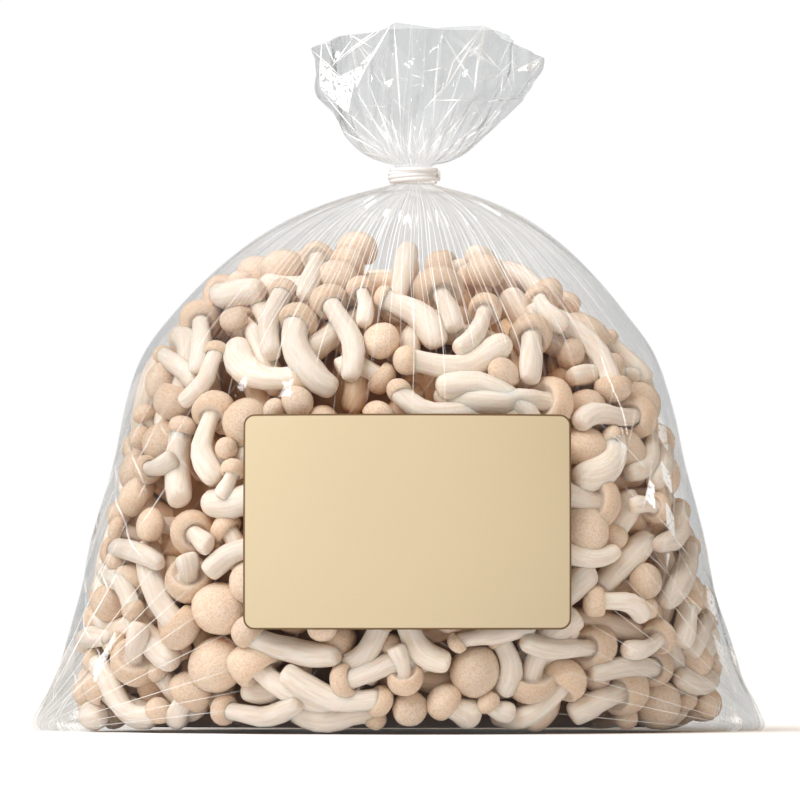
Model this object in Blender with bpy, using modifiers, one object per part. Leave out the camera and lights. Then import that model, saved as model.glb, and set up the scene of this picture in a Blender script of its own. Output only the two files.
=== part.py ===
"""A clear bag of loose white shimeji mushrooms, gathered at the neck and tied, with a blank label.

Four pieces: the bag's film, the tie round its neck, the label, and the bunch of mushrooms inside.
+X is to the right, +Y away from the front and +Z up. The origin is on the surface that the bag
stands on, under its middle.
"""

import math

import bmesh
import bpy
import numpy as np

MM = 0.001

# Driving dimensions
BAG_WALL = 0.6 * MM
GAP = 0.3 * MM
NECK_RADIUS = 7.0 * MM
NECK_CHANNEL_RADIUS = 2.6 * MM
TIE_BOTTOM = 202.2 * MM
TIE_HEIGHT = 6.8 * MM
TIE_THICKNESS = 2.0 * MM
TIE_WRAPS = 4
KNOT_SIZE = (1.6 * MM, 2.6 * MM, 2.3 * MM)
LABEL_WIDTH = 118 * MM
LABEL_HEIGHT = 77.5 * MM
LABEL_CORNER = 4 * MM
LABEL_CORNER_STEPS = 4
LABEL_COLUMNS = 12
LABEL_THICKNESS = 0.6 * MM
LABEL_CENTRE_X = 3 * MM
LABEL_CENTRE_Z = 76.5 * MM
PLEATS = 10
SEGMENTS = 4 * PLEATS

# The bag's outline, from the surface it stands on up to the neck, in millimetres and powers.
# Height, half width, half depth, power across, power deep, centre in x, pleat depth as a share.
# A power over 1 draws the section out to a point, as at the sealed corners of the base.
BODY_ROWS = (
    (0.0, 134.0, 60.0, 1.00, 1.90, 0.0, 0.00),
    (3.0, 135.5, 68.0, 1.00, 1.85, 0.0, 0.00),
    (10.0, 132.3, 73.0, 1.00, 1.70, 0.0, 0.00),
    (20.0, 126.6, 77.0, 1.00, 1.40, 0.0, 0.00),
    (32.0, 122.6, 79.5, 0.97, 1.10, 0.0, 0.00),
    (50.0, 117.4, 81.0, 0.93, 0.92, 0.0, 0.00),
    (70.0, 113.0, 81.0, 0.90, 0.86, 0.0, 0.00),
    (98.0, 105.6, 79.5, 0.90, 0.84, 0.0, 0.00),
    (120.0, 100.6, 76.5, 0.90, 0.86, 0.0, 0.00),
    (140.0, 94.0, 70.0, 0.92, 0.90, 0.2, 0.00),
    (156.0, 82.5, 61.0, 0.96, 0.94, 0.6, 0.01),
    (170.0, 69.5, 51.0, 1.00, 1.00, 1.2, 0.03),
    (181.0, 56.5, 41.0, 1.00, 1.00, 2.2, 0.06),
    (190.0, 42.0, 31.0, 1.00, 1.00, 3.4, 0.09),
    (196.5, 26.5, 21.0, 1.00, 1.00, 4.6, 0.11),
    (200.5, 12.5, 11.5, 1.00, 1.00, 5.2, 0.10),
)
NECK_CENTRE_X = 5.2 * MM
# The two films of each sealed corner meet, so the hollow between them is this much narrower at the base,
# and the difference is gone at this height, both in millimetres.
CORNER_CLOSED = 2.5
CORNER_OPEN_AT = 32.0
TOP_HOLLOW_RADIUS = 5.0
# The loose end of the bag above the tie, in the same columns, but the last is how far its folds have opened.
FLARE_ROWS = (
    (210.8, 15.0, 9.5, 1.00, 1.00, 7.2, 0.10),
    (214.5, 19.6, 12.0, 1.00, 1.00, 7.8, 0.25),
    (222.0, 24.0, 15.0, 1.00, 1.00, 8.2, 0.50),
    (232.0, 29.2, 18.5, 1.00, 1.00, 8.9, 0.85),
    (243.0, 34.6, 21.5, 1.00, 1.00, 9.5, 1.00),
    (257.0, 36.8, 24.0, 1.00, 1.00, 10.0, 1.00),
)
# The folds of the loose end: where each runs round it in degrees, the radius there as a share of the
# section's, and the height of the cut edge in millimetres.
RIM_FOLDS = (
    (0, 1.16, 249.5),
    (20, 0.96, 252.5),
    (48, 1.10, 256.5),
    (75, 0.92, 255.5),
    (100, 1.08, 258.0),
    (128, 0.94, 255.0),
    (152, 1.06, 254.0),
    (168, 0.97, 252.5),
    (180, 1.17, 253.0),
    (200, 0.95, 256.0),
    (222, 1.08, 256.5),
    (240, 0.93, 257.5),
    (253, 1.10, 260.3),
    (276, 0.94, 258.5),
    (301, 1.10, 259.5),
    (322, 0.95, 255.5),
    (342, 1.05, 252.0),
)
# The heap of mushrooms is a dome under the bag's shoulders, and its top leans to the left.
HEAP_HALF_WIDTH = 119.5 * MM
HEAP_HALF_DEPTH = 83.0 * MM
HEAP_HEIGHT = 186.0 * MM
HEAP_ROUNDING = 3
HEAP_LEAN = -9.0 * MM
FILM_CLEARANCE = 1.6 * MM
FLOOR_CLEARANCE = 1.5 * MM
LEVEL_STEP = 0.2 * MM
CORE_DEPTH = 12.0 * MM
CORE_SIDES = 16
CORE_LEVELS = [z * MM for z in (5.0, 14.0, 34.0, 60.0, 88.0, 114.0, 137.0, 156.0, 169.0)]
HALVINGS = 20
# A stem's foot bends towards the middle of the heap until it lies this deep, and draws its neighbour along.
FOOT_DEPTH = 15.0 * MM
ROOT_STEPS = 24
ROOT_STEP = 1 * MM
ROOT_NEIGHBOUR_SHARE = 0.35
ROOT_AIM_SHARE = 0.6

# How the photograph is read. A pixel is 0.37 mm at the bag's middle, and nearer things look larger.
MM_PER_PIXEL = 0.37
PHOTO_CENTRE_PX = 399
PHOTO_FLOOR_PX = 731
EYE_HEIGHT = 45.0 * MM
EYE_DISTANCE = 2.6
SIGHT_START = -60 * MM
SIGHT_END = -2 * MM
SIGHT_STEPS = 60
# A stem that is hidden behind its cap goes in through these distances from the cap's middle.
HIDDEN_STEM = (0, 14 * MM, 34 * MM)

# The mushrooms that show best at the front, read from the photograph by eye.
# Each is the cap's centre in pixels, the cap's width, the stem's thickness and how much deeper than
# the film it lies in millimetres, then the points in pixels that its stem passes. A mushroom with no
# stem points has its stem behind its cap.
FRONT_MUSHROOMS = (
    (281, 271, 17.5, 8.0, 0, ()),
    (355, 251, 16.0, 8.0, 0, ()),
    (198, 325, 16.5, 7.0, 0, ((204, 345), (201, 373))),
    (283, 296, 11.0, 8.3, 1, ((277, 312), (268, 332), (272, 365))),
    (329, 301, 14.0, 8.0, 0, ((341, 320), (354, 345), (350, 380))),
    (381, 340, 14.0, 7.0, 0, ()),
    (222, 352, 9.0, 6.8, 1, ((214, 365), (202, 386), (180, 402))),
    (209, 412, 16.5, 8.0, 0, ((204, 428), (201, 455), (219, 482))),
    (186, 428, 10.0, 10.0, 3, ((179, 444), (176, 474), (195, 503))),
    (487, 273, 15.5, 7.0, 0, ()),
    (441, 292, 19.0, 8.0, 0, ((450, 314), (457, 334))),
    (394, 308, 10.0, 8.0, 4, ((399, 292), (404, 272), (408, 254))),
    (538, 299, 10.5, 6.8, 0, ((546, 312), (566, 329))),
    (484, 309, 13.0, 7.0, 1, ((478, 325), (468, 342), (454, 352))),
    (538, 334, 16.5, 8.0, 0, ((531, 350), (524, 380))),
    (587, 339, 20.5, 9.0, 0, ()),
    (633, 417, 18.0, 8.0, 0, ((613, 418), (594, 414), (577, 426))),
    (609, 436, 8.0, 10.0, 1, ((618, 447), (606, 474), (578, 489))),
    (668, 465, 17.0, 8.0, 0, ()),
    (384, 302, 9.0, 9.0, 3, ((402, 308), (427, 320), (443, 345))),
    (405, 360, 11.0, 9.0, 1, ((418, 358), (464, 364), (510, 344))),
    (396, 392, 9.0, 8.5, 3, ((404, 402), (434, 414), (486, 394))),
    (498, 382, 13.0, 7.0, 0, ()),
    (150, 526, 13.0, 7.0, 0, ()),
    (193, 526, 17.0, 7.5, 0, ((200, 543), (210, 556))),
    (255, 547, 11.0, 8.0, 3, ((240, 549), (222, 552), (202, 567))),
    (191, 586, 18.0, 8.0, 0, ((189, 562), (186, 552))),
    (222, 611, 20.5, 9.0, 0, ()),
    (176, 630, 18.0, 10.5, 0, ((163, 606), (150, 575), (135, 540))),
    (145, 661, 18.5, 7.0, 0, ((139, 636), (137, 615))),
    (209, 671, 21.5, 9.0, 0, ()),
    (161, 715, 10.5, 8.0, 0, ((143, 722), (118, 706), (110, 682), (94, 664))),
    (227, 709, 11.5, 7.5, 0, ((245, 711), (272, 713), (302, 694))),
    (247, 628, 12.0, 9.0, 3, ((258, 640), (295, 661), (338, 664))),
    (380, 703, 12.0, 9.0, 0, ((368, 697), (337, 697), (306, 683), (284, 664))),
    (383, 624, 10.0, 8.5, 4, ((378, 640), (364, 661), (334, 676))),
    (583, 535, 20.5, 9.0, 0, ()),
    (655, 504, 12.0, 5.5, 0, ((642, 505), (630, 506))),
    (681, 509, 9.0, 7.5, 0, ((679, 518), (680, 536), (656, 544))),
    (643, 582, 14.0, 7.0, 1, ()),
    (594, 602, 11.5, 7.0, 0, ((611, 601), (632, 603), (645, 619))),
    (598, 650, 18.0, 7.5, 0, ((573, 647), (548, 648), (520, 642))),
    (660, 639, 13.5, 7.0, 0, ((647, 650), (622, 653))),
    (621, 689, 19.5, 9.5, 0, ((598, 702), (566, 717))),
    (662, 697, 18.5, 8.0, 0, ()),
    (542, 706, 19.0, 8.0, 0, ()),
    (474, 673, 19.5, 8.0, 0, ()),
    (442, 702, 14.5, 11.0, 0, ((456, 708), (474, 718))),
    (598, 703, 11.0, 10.5, 4, ((582, 694), (552, 669), (518, 645))),
    (506, 636, 10.0, 8.0, 4, ((512, 650), (514, 672), (500, 692))),
    (405, 678, 14.5, 6.5, 0, ((402, 662), (398, 645))),
    (400, 622, 11.0, 8.5, 3, ((405, 638), (424, 657), (452, 660))),
    (408, 705, 13.0, 8.0, 0, ()),
    (694, 549, 9.5, 8.0, 0, ((688, 562), (676, 588), (663, 606))),
    (689, 604, 10.0, 8.0, 0, ((686, 620), (678, 645))),
    (94, 611, 12.0, 7.0, 0, ()),
)
# The rest of the heap is filled with mushrooms drawn from these ranges, and the caps keep a spacing that
# shrinks at each try.
SCATTER_COUNT = 47
SCATTER_SEED = 6
SCATTER_SPACING = 24 * MM
SPACING_SHRINK = 0.999
SCATTER_HEIGHTS = (6, 178)
CAP_RADII = (6.0, 10.0)
STEM_RADII = (3.7, 5.0)
STEM_LENGTHS = (34, 56)
STEM_BOWS = (-1.6, 1.6)
STEM_STRETCHES = 4
INWARD_SHARE = 0.25
STEM_POINTS = 6
CURVE_STEPS = 12
NECK_BELOW_CAP = 0.8
# Settling: how much of an overlap is undone at each step, how far a loose mushroom drifts out, how much of
# its own shape it takes back, and how strongly it is drawn to where it was read.
SETTLE_STEPS = 140
SETTLE_PUSH = 0.35
SETTLE_DRIFT = 0.1
SETTLE_SLACK = 3 * MM
SETTLE_SHAPE = 0.5
SETTLE_HOMING = 0.04
CAP_ROOM = 0.95
SETTLE_ROUNDING = 6

FILM_COLOUR = (0.92, 0.94, 0.94)
TIE_COLOUR = (0.90, 0.89, 0.90)
LABEL_COLOUR = (0.83, 0.67, 0.44)
CAP_COLOUR = (0.72, 0.50, 0.31)
STEM_COLOUR = (0.83, 0.74, 0.61)


def clear_scene():
    """Removes whatever objects the scene holds."""
    for old in list(bpy.data.objects):
        bpy.data.objects.remove(old)


def new_collection(name):
    """A collection linked to the scene."""
    made = bpy.data.collections.new(name)
    bpy.context.scene.collection.children.link(made)
    return made


def finish_material(name, colour, roughness, alpha=1.0):
    """A Principled BSDF of one colour."""
    made = bpy.data.materials.new(name)
    made.use_nodes = True
    shader = made.node_tree.nodes["Principled BSDF"]
    shader.inputs["Base Color"].default_value = (*colour, 1.0)
    shader.inputs["Roughness"].default_value = roughness
    shader.inputs["Metallic"].default_value = 0.0
    shader.inputs["Alpha"].default_value = alpha
    made.diffuse_color = (*colour, alpha)
    return made


def mesh_object(name, points, faces, collection, materials):
    """A mesh object with its normals out."""
    mesh = bpy.data.meshes.new(name)
    mesh.from_pydata([tuple(p) for p in points], [], faces)
    made = bpy.data.objects.new(name, mesh)
    collection.objects.link(made)
    for material in materials:
        mesh.materials.append(material)
    work = bmesh.new()
    work.from_mesh(mesh)
    bmesh.ops.recalc_face_normals(work, faces=work.faces)
    work.to_mesh(mesh)
    work.free()
    return made


def loft_faces(rings, sides):
    """The faces of a loft of rings of points, with a pole point before the first and after the last."""
    first, last = 0, 1 + rings * sides
    faces = []
    for i in range(sides):
        j = (i + 1) % sides
        faces.append((first, 1 + j, 1 + i))
        for ring in range(rings - 1):
            near, far = 1 + ring * sides, 1 + (ring + 1) * sides
            faces.append((near + i, near + j, far + j, far + i))
        end = 1 + (rings - 1) * sides
        faces.append((end + i, end + j, last))
    return faces


def signed_power(value, power):
    """value to the power, keeping its sign."""
    return np.sign(value) * np.abs(value) ** power


def fuse(base, extras):
    """One union of the base with every object of a collection, applied. The collection is then removed."""
    union = base.modifiers.new("fuse", "BOOLEAN")
    union.operation = "UNION"
    union.operand_type = "COLLECTION"
    union.collection = extras
    union.solver = "MANIFOLD"
    bpy.context.view_layer.update()
    graph = bpy.context.evaluated_depsgraph_get()
    fused = bpy.data.meshes.new_from_object(base.evaluated_get(graph))
    base.modifiers.clear()
    base.data = fused
    for old in list(extras.objects):
        bpy.data.objects.remove(old)
    bpy.data.collections.remove(extras)


# The bag's film


def section(row, folded=False):
    """One ring of the bag in metres: a superellipse that swells with the pleats or the loose end's folds."""
    height, half_width, half_depth, power_across, power_deep, centre_x, pleat = row
    turn = np.arange(SEGMENTS) * 2 * math.pi / SEGMENTS
    fold = round_rim(1) - 1 if folded else np.cos(PLEATS * turn)
    swell = 1 + pleat * fold
    x = centre_x + half_width * signed_power(np.cos(turn), power_across) * swell
    y = half_depth * signed_power(np.sin(turn), power_deep) * swell
    return np.stack([x, y, np.full(SEGMENTS, height)], axis=1) * MM


def round_rim(column):
    """One column of the list of folds, read at each point round the rim."""
    turn = np.arange(SEGMENTS) * 360 / SEGMENTS
    folds = np.array(RIM_FOLDS)
    return np.interp(turn, folds[:, 0], folds[:, column], period=360)


def inset(rows, wall):
    """The rows of the film's inner face: each is moved in along its own slope by the wall."""
    rows = np.array(rows, float)
    inner = rows.copy()
    for half in (1, 2):
        run = np.gradient(rows[:, half])
        rise = np.gradient(rows[:, 0])
        inner[:, half] -= wall * rise / np.hypot(run, rise)
    run, rise = np.gradient(rows[:, 1]), np.gradient(rows[:, 0])
    inner[:, 0] += wall * run / np.hypot(run, rise)
    return inner


def body_inner_rows():
    """The inner face of the filled part. The films of each base corner meet, so it stops short of them."""
    inner = inset(BODY_ROWS, BAG_WALL / MM)
    inner[:, 1] -= CORNER_CLOSED * np.clip(1 - inner[:, 0] / CORNER_OPEN_AT, 0, 1)
    inner[0, 0] = BAG_WALL / MM
    inner[-1, 1:3] = TOP_HOLLOW_RADIUS
    return inner


def bag_film(collection, material):
    """The whole film as one loft.

    It runs out from under the bag, up over the belly, through the tied neck to the rim of the loose end, and
    back down its inner face.
    """
    neck = (0, NECK_RADIUS / MM, NECK_RADIUS / MM, 1.0, 1.0, NECK_CENTRE_X / MM, 0.03)
    channel = (0, NECK_CHANNEL_RADIUS / MM, NECK_CHANNEL_RADIUS / MM, 1.0, 1.0, NECK_CENTRE_X / MM, 0.0)
    neck_ends = ((TIE_BOTTOM - GAP) / MM, (TIE_BOTTOM + TIE_HEIGHT + GAP) / MM)
    base = BODY_ROWS[0]
    outer = [section((0.0, base[1] / 2, base[2] / 2, *base[3:]))]
    outer += [section(row) for row in BODY_ROWS]
    outer += [section((height, *neck[1:])) for height in neck_ends]
    outer += [section(row, folded=True) for row in FLARE_ROWS]
    inner_body = body_inner_rows()
    inner = [section((inner_body[0, 0], inner_body[0, 1] / 2, inner_body[0, 2] / 2, *inner_body[0, 3:]))]
    inner += [section(row) for row in inner_body]
    inner += [section((height, *channel[1:])) for height in neck_ends]
    inner += [section(row, folded=True) for row in inset(FLARE_ROWS, BAG_WALL / MM)]
    outer[-1][:, 2] = round_rim(2) * MM
    inner[-1][:, 2] = round_rim(2) * MM
    rings = outer + inner[::-1]
    bottom = (0.0, 0.0, 0.0)
    floor = (0.0, 0.0, inner_body[0, 0] * MM)
    points = np.vstack([[bottom], *rings, [floor]])
    film = mesh_object("bag_film", points, loft_faces(len(rings), SEGMENTS), collection, [material])
    film.data.shade_smooth()
    return film


def front_of_bag(x, z):
    """How far forward of the middle the film's outer face is, at points in metres."""
    rows = np.array(BODY_ROWS)
    _, half_width, half_depth, across, deep, centre, _ = (np.interp(z / MM, rows[:, 0], c) for c in rows.T)
    share = np.clip(np.abs(x / MM - centre) / half_width, 0, 1) ** (2 / across)
    return half_depth * (1 - share) ** (deep / 2) * MM


# The tie


def neck_tie(collection, material):
    """A strip wound round the gathered neck: a turned ring, ribbed by its wraps, with a knot at its side."""
    inside = NECK_RADIUS * 1.03 + GAP
    rib = TIE_HEIGHT / TIE_WRAPS
    profile = [(inside, TIE_BOTTOM + TIE_HEIGHT)]
    for wrap in reversed(range(TIE_WRAPS)):
        low = TIE_BOTTOM + wrap * rib
        profile += [
            (inside + 0.7 * TIE_THICKNESS, low + 0.95 * rib),
            (inside + TIE_THICKNESS, low + 0.5 * rib),
            (inside + 0.7 * TIE_THICKNESS, low + 0.05 * rib),
        ]
    profile.append((inside, TIE_BOTTOM))
    mesh = bpy.data.meshes.new("neck_tie")
    count = len(profile)
    edges = [(i, (i + 1) % count) for i in range(count)]
    mesh.from_pydata([(r, 0.0, z) for r, z in profile], edges, [])
    ring = bpy.data.objects.new("neck_tie", mesh)
    ring.location.x = NECK_CENTRE_X
    collection.objects.link(ring)
    mesh.materials.append(material)
    screw = ring.modifiers.new("turn", "SCREW")
    screw.steps = screw.render_steps = 24
    screw.use_merge_vertices = True
    screw.merge_threshold = 0.00001
    screw.use_normal_calculate = True
    work = bmesh.new()
    bmesh.ops.create_uvsphere(work, u_segments=10, v_segments=6, radius=1.0)
    knot_mesh = bpy.data.meshes.new("knot")
    work.to_mesh(knot_mesh)
    work.free()
    knots = new_collection("knot")
    knot = bpy.data.objects.new("knot", knot_mesh)
    knot.scale = KNOT_SIZE
    knot.location = (NECK_CENTRE_X + inside + 0.8 * TIE_THICKNESS, 0.0, TIE_BOTTOM + 0.55 * TIE_HEIGHT)
    knots.objects.link(knot)
    fuse(ring, knots)
    return ring


# The label


def label(collection, material):
    """A rounded rectangle that follows the belly of the bag.

    It has columns of points at the heights where the film bends, and they are shorter where a corner rounds.
    """
    corner_steps = np.sin(np.linspace(0, math.pi / 2, LABEL_CORNER_STEPS))
    half = LABEL_WIDTH / 2
    left = -half + LABEL_CORNER * (1 - corner_steps[::-1])
    between = np.linspace(-half + LABEL_CORNER, half - LABEL_CORNER, LABEL_COLUMNS)[1:-1]
    stations = np.concatenate([left, between, -left[::-1]])
    in_corner = np.clip(np.abs(stations) - (half - LABEL_CORNER), 0, LABEL_CORNER)
    drop = LABEL_CORNER - np.sqrt(LABEL_CORNER**2 - in_corner**2)
    film_heights = np.array(BODY_ROWS)[:, 0] * MM
    bottom, top = LABEL_CENTRE_Z - LABEL_HEIGHT / 2, LABEL_CENTRE_Z + LABEL_HEIGHT / 2
    behind = film_heights[(film_heights > bottom) & (film_heights < top)]
    levels = np.concatenate([[bottom], behind, [top]])
    x = LABEL_CENTRE_X + stations[:, None] + 0 * levels
    z = np.clip(levels, bottom + drop[:, None], top - drop[:, None])
    y = -front_of_bag(x, z) - GAP
    columns, rows = x.shape
    faces = [
        (c * rows + r, (c + 1) * rows + r, (c + 1) * rows + r + 1, c * rows + r + 1)
        for c in range(columns - 1)
        for r in range(rows - 1)
    ]
    points = np.stack([x, y, z], axis=-1).reshape(-1, 3)
    mesh = bpy.data.meshes.new("label")
    mesh.from_pydata([tuple(p) for p in points], [], faces)
    mesh.materials.append(material)
    made = bpy.data.objects.new("label", mesh)
    collection.objects.link(made)
    thick = made.modifiers.new("thickness", "SOLIDIFY")
    thick.thickness = LABEL_THICKNESS
    thick.offset = 1.0
    return made


# Where the mushrooms lie


def film_level(points):
    """Below 1 inside the film's inner face, 1 on it."""
    rows = body_inner_rows()
    x, y, z = (points / MM).T
    _, half_width, half_depth, across, deep, centre, _ = (np.interp(z, rows[:, 0], c) for c in rows.T)
    return (np.abs(x - centre) / half_width) ** (2 / across) + (np.abs(y) / half_depth) ** (2 / deep)


def heap_level(points):
    """Below 1 inside the dome of the heap, 1 on it."""
    x, y, z = points.T
    up = np.clip(z / HEAP_HEIGHT, 0, None)
    centre = HEAP_LEAN * np.clip(up, 0, 1) ** 4
    return ((x - centre) / HEAP_HALF_WIDTH) ** 2 + (y / HEAP_HALF_DEPTH) ** 2 + up**HEAP_ROUNDING


def depth_under(level, points):
    """How deep points are under a level surface, and which way is in, from the level's slope."""
    here = level(points)
    slope = np.stack([(level(points + LEVEL_STEP * axis) - here) / LEVEL_STEP for axis in np.eye(3)], axis=1)
    steep = np.linalg.norm(slope, axis=1) + 1e-9
    return (1 - here) / steep, -slope / steep[:, None]


def heap_depth(points):
    """The lesser depth of the two surfaces that bound the heap, and its way in."""
    film, film_in = depth_under(film_level, points)
    dome, dome_in = depth_under(heap_level, points)
    film = film - FILM_CLEARANCE
    nearer = film < dome
    return np.where(nearer, film, dome), np.where(nearer[:, None], film_in, dome_in)


def place_at_depth(pixels, depths):
    """Points seen at these pixels, at these depths under the front of the heap."""
    pixels = np.array(pixels, float)
    back = np.full(len(pixels), SIGHT_START)
    flat_x = (pixels[:, 0] - PHOTO_CENTRE_PX) * MM_PER_PIXEL * MM
    flat_z = (PHOTO_FLOOR_PX - pixels[:, 1]) * MM_PER_PIXEL * MM
    for _ in range(SIGHT_STEPS):
        nearer = 1 + back / EYE_DISTANCE
        x, z = flat_x * nearer, EYE_HEIGHT + (flat_z - EYE_HEIGHT) * nearer
        depth, _ = heap_depth(np.stack([x, back, z], axis=1))
        back = np.minimum(back + 0.5 * (depths - depth), SIGHT_END)
    return np.stack([x, back, z], axis=1)


def resample(points, stations):
    """Points at these distances along the smooth curve through the given points."""
    points = np.array(points)
    ends = np.vstack([2 * points[0] - points[1], points, 2 * points[-1] - points[-2]])
    share = np.linspace(0, 1, CURVE_STEPS, endpoint=False)[:, None]
    pieces = [
        b + 0.5 * share * (c - a + share * (2 * a - 5 * b + 4 * c - d + share * (3 * b - a - 3 * c + d)))
        for a, b, c, d in zip(ends, ends[1:], ends[2:], ends[3:])
    ]
    curve = np.vstack([*pieces, points[-1:]])
    along = np.concatenate([[0], np.cumsum(np.linalg.norm(np.diff(curve, axis=0), axis=1))])
    stations = np.array(stations) * (along[-1] if stations[-1] <= 1 else 1)
    return np.stack([np.interp(stations, along, c) for c in curve.T], axis=1)


def spine(points, cap_radius):
    """A mushroom's spine: the cap's centre, the top of the stem close under it, and on down the stem."""
    length = np.linalg.norm(np.diff(np.array(points), axis=0), axis=1).sum()
    neck = min(NECK_BELOW_CAP * cap_radius / length, 0.5)
    return resample(points, [0, *np.linspace(neck, 1, STEM_POINTS)])


def front_mushrooms(readings, draw):
    """Spines and radii of the mushrooms read from the photograph."""
    spines, radii = [], []
    for cap_x, cap_y, across, thick, deeper, stem in readings:
        cap_radius, stem_radius = across / 2 * MM, thick / 2 * MM
        depths = np.array([cap_radius + deeper * MM] + [stem_radius + deeper * MM] * len(stem))
        points = place_at_depth([(cap_x, cap_y), *stem], depths)
        if not stem:
            _, way_in = heap_depth(points)
            aside = np.array([draw.uniform(-0.5, 0.5), 0, draw.uniform(-0.6, 0.3)])
            way = way_in[0] + aside
            way /= np.linalg.norm(way)
            points = points[0] + np.outer(HIDDEN_STEM, way)
        spines.append(spine(points, cap_radius))
        radii.append((cap_radius, stem_radius))
    return np.array(spines), np.array(radii)


def scattered_cap(turn, height, cap_radius):
    """A cap's middle on the dome at this turn and height, moved to touch the film or the dome from inside."""
    reach = math.sqrt(1 - (height / HEAP_HEIGHT) ** HEAP_ROUNDING)
    x, y = HEAP_HALF_WIDTH * reach * math.cos(turn), HEAP_HALF_DEPTH * reach * math.sin(turn)
    cap = np.array([[x, y, height]])
    for _ in range(30):
        depth, way_in = heap_depth(cap)
        cap = cap + way_in * (cap_radius - depth)[:, None]
        cap[:, 2] = np.maximum(cap[:, 2], cap_radius + FLOOR_CLEARANCE)
    return cap


def scattered_mushrooms(count, draw, taken):
    """Spines and radii of mushrooms spread evenly over the rest of the heap, clear of the caps there."""
    spines, radii, caps = [], [], [tuple(p) for p in taken[:, 0]]
    spacing = SCATTER_SPACING
    while len(spines) < count:
        spacing *= SPACING_SHRINK
        turn, height = draw.uniform(0, 2 * math.pi), draw.uniform(*SCATTER_HEIGHTS) * MM
        cap_radius, stem_radius = draw.uniform(*CAP_RADII) * MM, draw.uniform(*STEM_RADII) * MM
        heading, bow = draw.uniform(0, 2 * math.pi), draw.uniform(*STEM_BOWS)
        length, outward = draw.uniform(*STEM_LENGTHS) * MM, draw.uniform(0, 1)
        cap = scattered_cap(turn, height, cap_radius)
        if min(np.linalg.norm(np.array(c) - cap[0]) for c in caps) < spacing:
            continue
        _, way_in = heap_depth(cap)
        across = np.cross(way_in[0], (0.0, 0.0, 1.0))
        across /= np.linalg.norm(across)
        up = np.cross(across, way_in[0])
        points, here = [cap[0]], cap
        step = length / STEM_STRETCHES
        for i in range(STEM_STRETCHES):
            angle = heading + bow * i / (STEM_STRETCHES - 1)
            way = math.cos(angle) * across + math.sin(angle) * up
            if outward < INWARD_SHARE:
                way = way_in[0] + 0.35 * way
            here = here + step * way / np.linalg.norm(way)
            for _ in range(4 if outward >= INWARD_SHARE else 0):
                depth, inward = heap_depth(here)
                here = here + inward * (stem_radius + 1 * MM * i - depth)[:, None]
            here[:, 2] = np.maximum(here[:, 2], stem_radius + FLOOR_CLEARANCE)
            points.append(here[0])
        caps.append(tuple(cap[0]))
        spines.append(spine(points, cap_radius))
        radii.append((cap_radius, stem_radius))
    return np.array(spines), np.array(radii)


def settle(spines, radii):
    """Pushes the mushrooms apart and into the heap, as spheres along each spine. Each keeps its own shape."""
    count, per = spines.shape[:2]
    size = np.repeat(radii[:, 1:], per, axis=1)
    size[:, 0] = CAP_ROOM * radii[:, 0]
    size = size.reshape(-1)
    own = np.repeat(np.arange(count), per)
    other = own[:, None] != own[None, :]
    room = size[:, None] + size[None, :]
    rest = spines - spines.mean(axis=1, keepdims=True)
    home = spines.copy()
    now = spines.reshape(-1, 3).copy()
    for _ in range(SETTLE_STEPS):
        apart = now[:, None, :] - now[None, :, :]
        distance = np.linalg.norm(apart, axis=2) + 1e-9
        push = np.where(other, np.clip(room - distance, 0, None), 0) / distance
        now = now + SETTLE_PUSH * (apart * push[:, :, None]).sum(axis=1)
        depth, way_in = heap_depth(now)
        now = now + way_in * np.clip(size - depth, 0, None)[:, None]
        now = now - way_in * SETTLE_DRIFT * np.clip(depth - size - SETTLE_SLACK, 0, 1 * MM)[:, None]
        now[:, 2] = np.maximum(now[:, 2], size + FLOOR_CLEARANCE)
        shaped = now.reshape(count, per, 3)
        centre = shaped.mean(axis=1, keepdims=True)
        u, _, vt = np.linalg.svd(np.einsum("nki,nkj->nij", rest, shaped - centre))
        turn_sign = np.sign(np.linalg.det(u @ vt))
        u[:, :, 2] *= turn_sign[:, None]
        kept = np.einsum("nki,nij->nkj", rest, u @ vt) + centre
        shaped = shaped + SETTLE_SHAPE * (kept - shaped) + SETTLE_HOMING * (home - shaped)
        now = np.round(shaped.reshape(-1, 3), SETTLE_ROUNDING)
    return now.reshape(count, per, 3)


def root(spines):
    """Bends the foot of each stem towards the middle of the heap until it is sunk in the core."""
    spines = spines.copy()
    start = spines[:, -1].copy()
    for _ in range(ROOT_STEPS):
        depth, _ = heap_depth(spines[:, -1])
        middle = spines[:, -1] * (ROOT_AIM_SHARE, 0.0, 0.0) + (0.0, 0.0, HEAP_HEIGHT / 3)
        way = middle - spines[:, -1]
        way /= np.linalg.norm(way, axis=1, keepdims=True)
        spines[:, -1] += way * np.clip(FOOT_DEPTH - depth, 0, ROOT_STEP)[:, None]
    spines[:, -2] += ROOT_NEIGHBOUR_SHARE * (spines[:, -1] - start)
    return spines


# The bunch of mushrooms

# The cap's profile from where the stem meets it to its crown: height and radius, as shares of its
# half width, from the middle of the cap.
CAP_PROFILE = ((-0.52, 0.86), (-0.10, 1.00), (0.55, 0.76))
CAP_CROWN = 0.92
# The stem's thickness from its foot up to the cap, and how far its foot bulges, as shares of its radius.
STEM_PROFILE = (0.80, 1.06, 1.02, 0.86)
FOOT_BULGE = 0.25
# A wide cap gets more sides than a narrow one.
WIDE_CAP_RADIUS = 7.5 * MM
WIDE_SIDES = 7
NARROW_SIDES = 6


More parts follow.
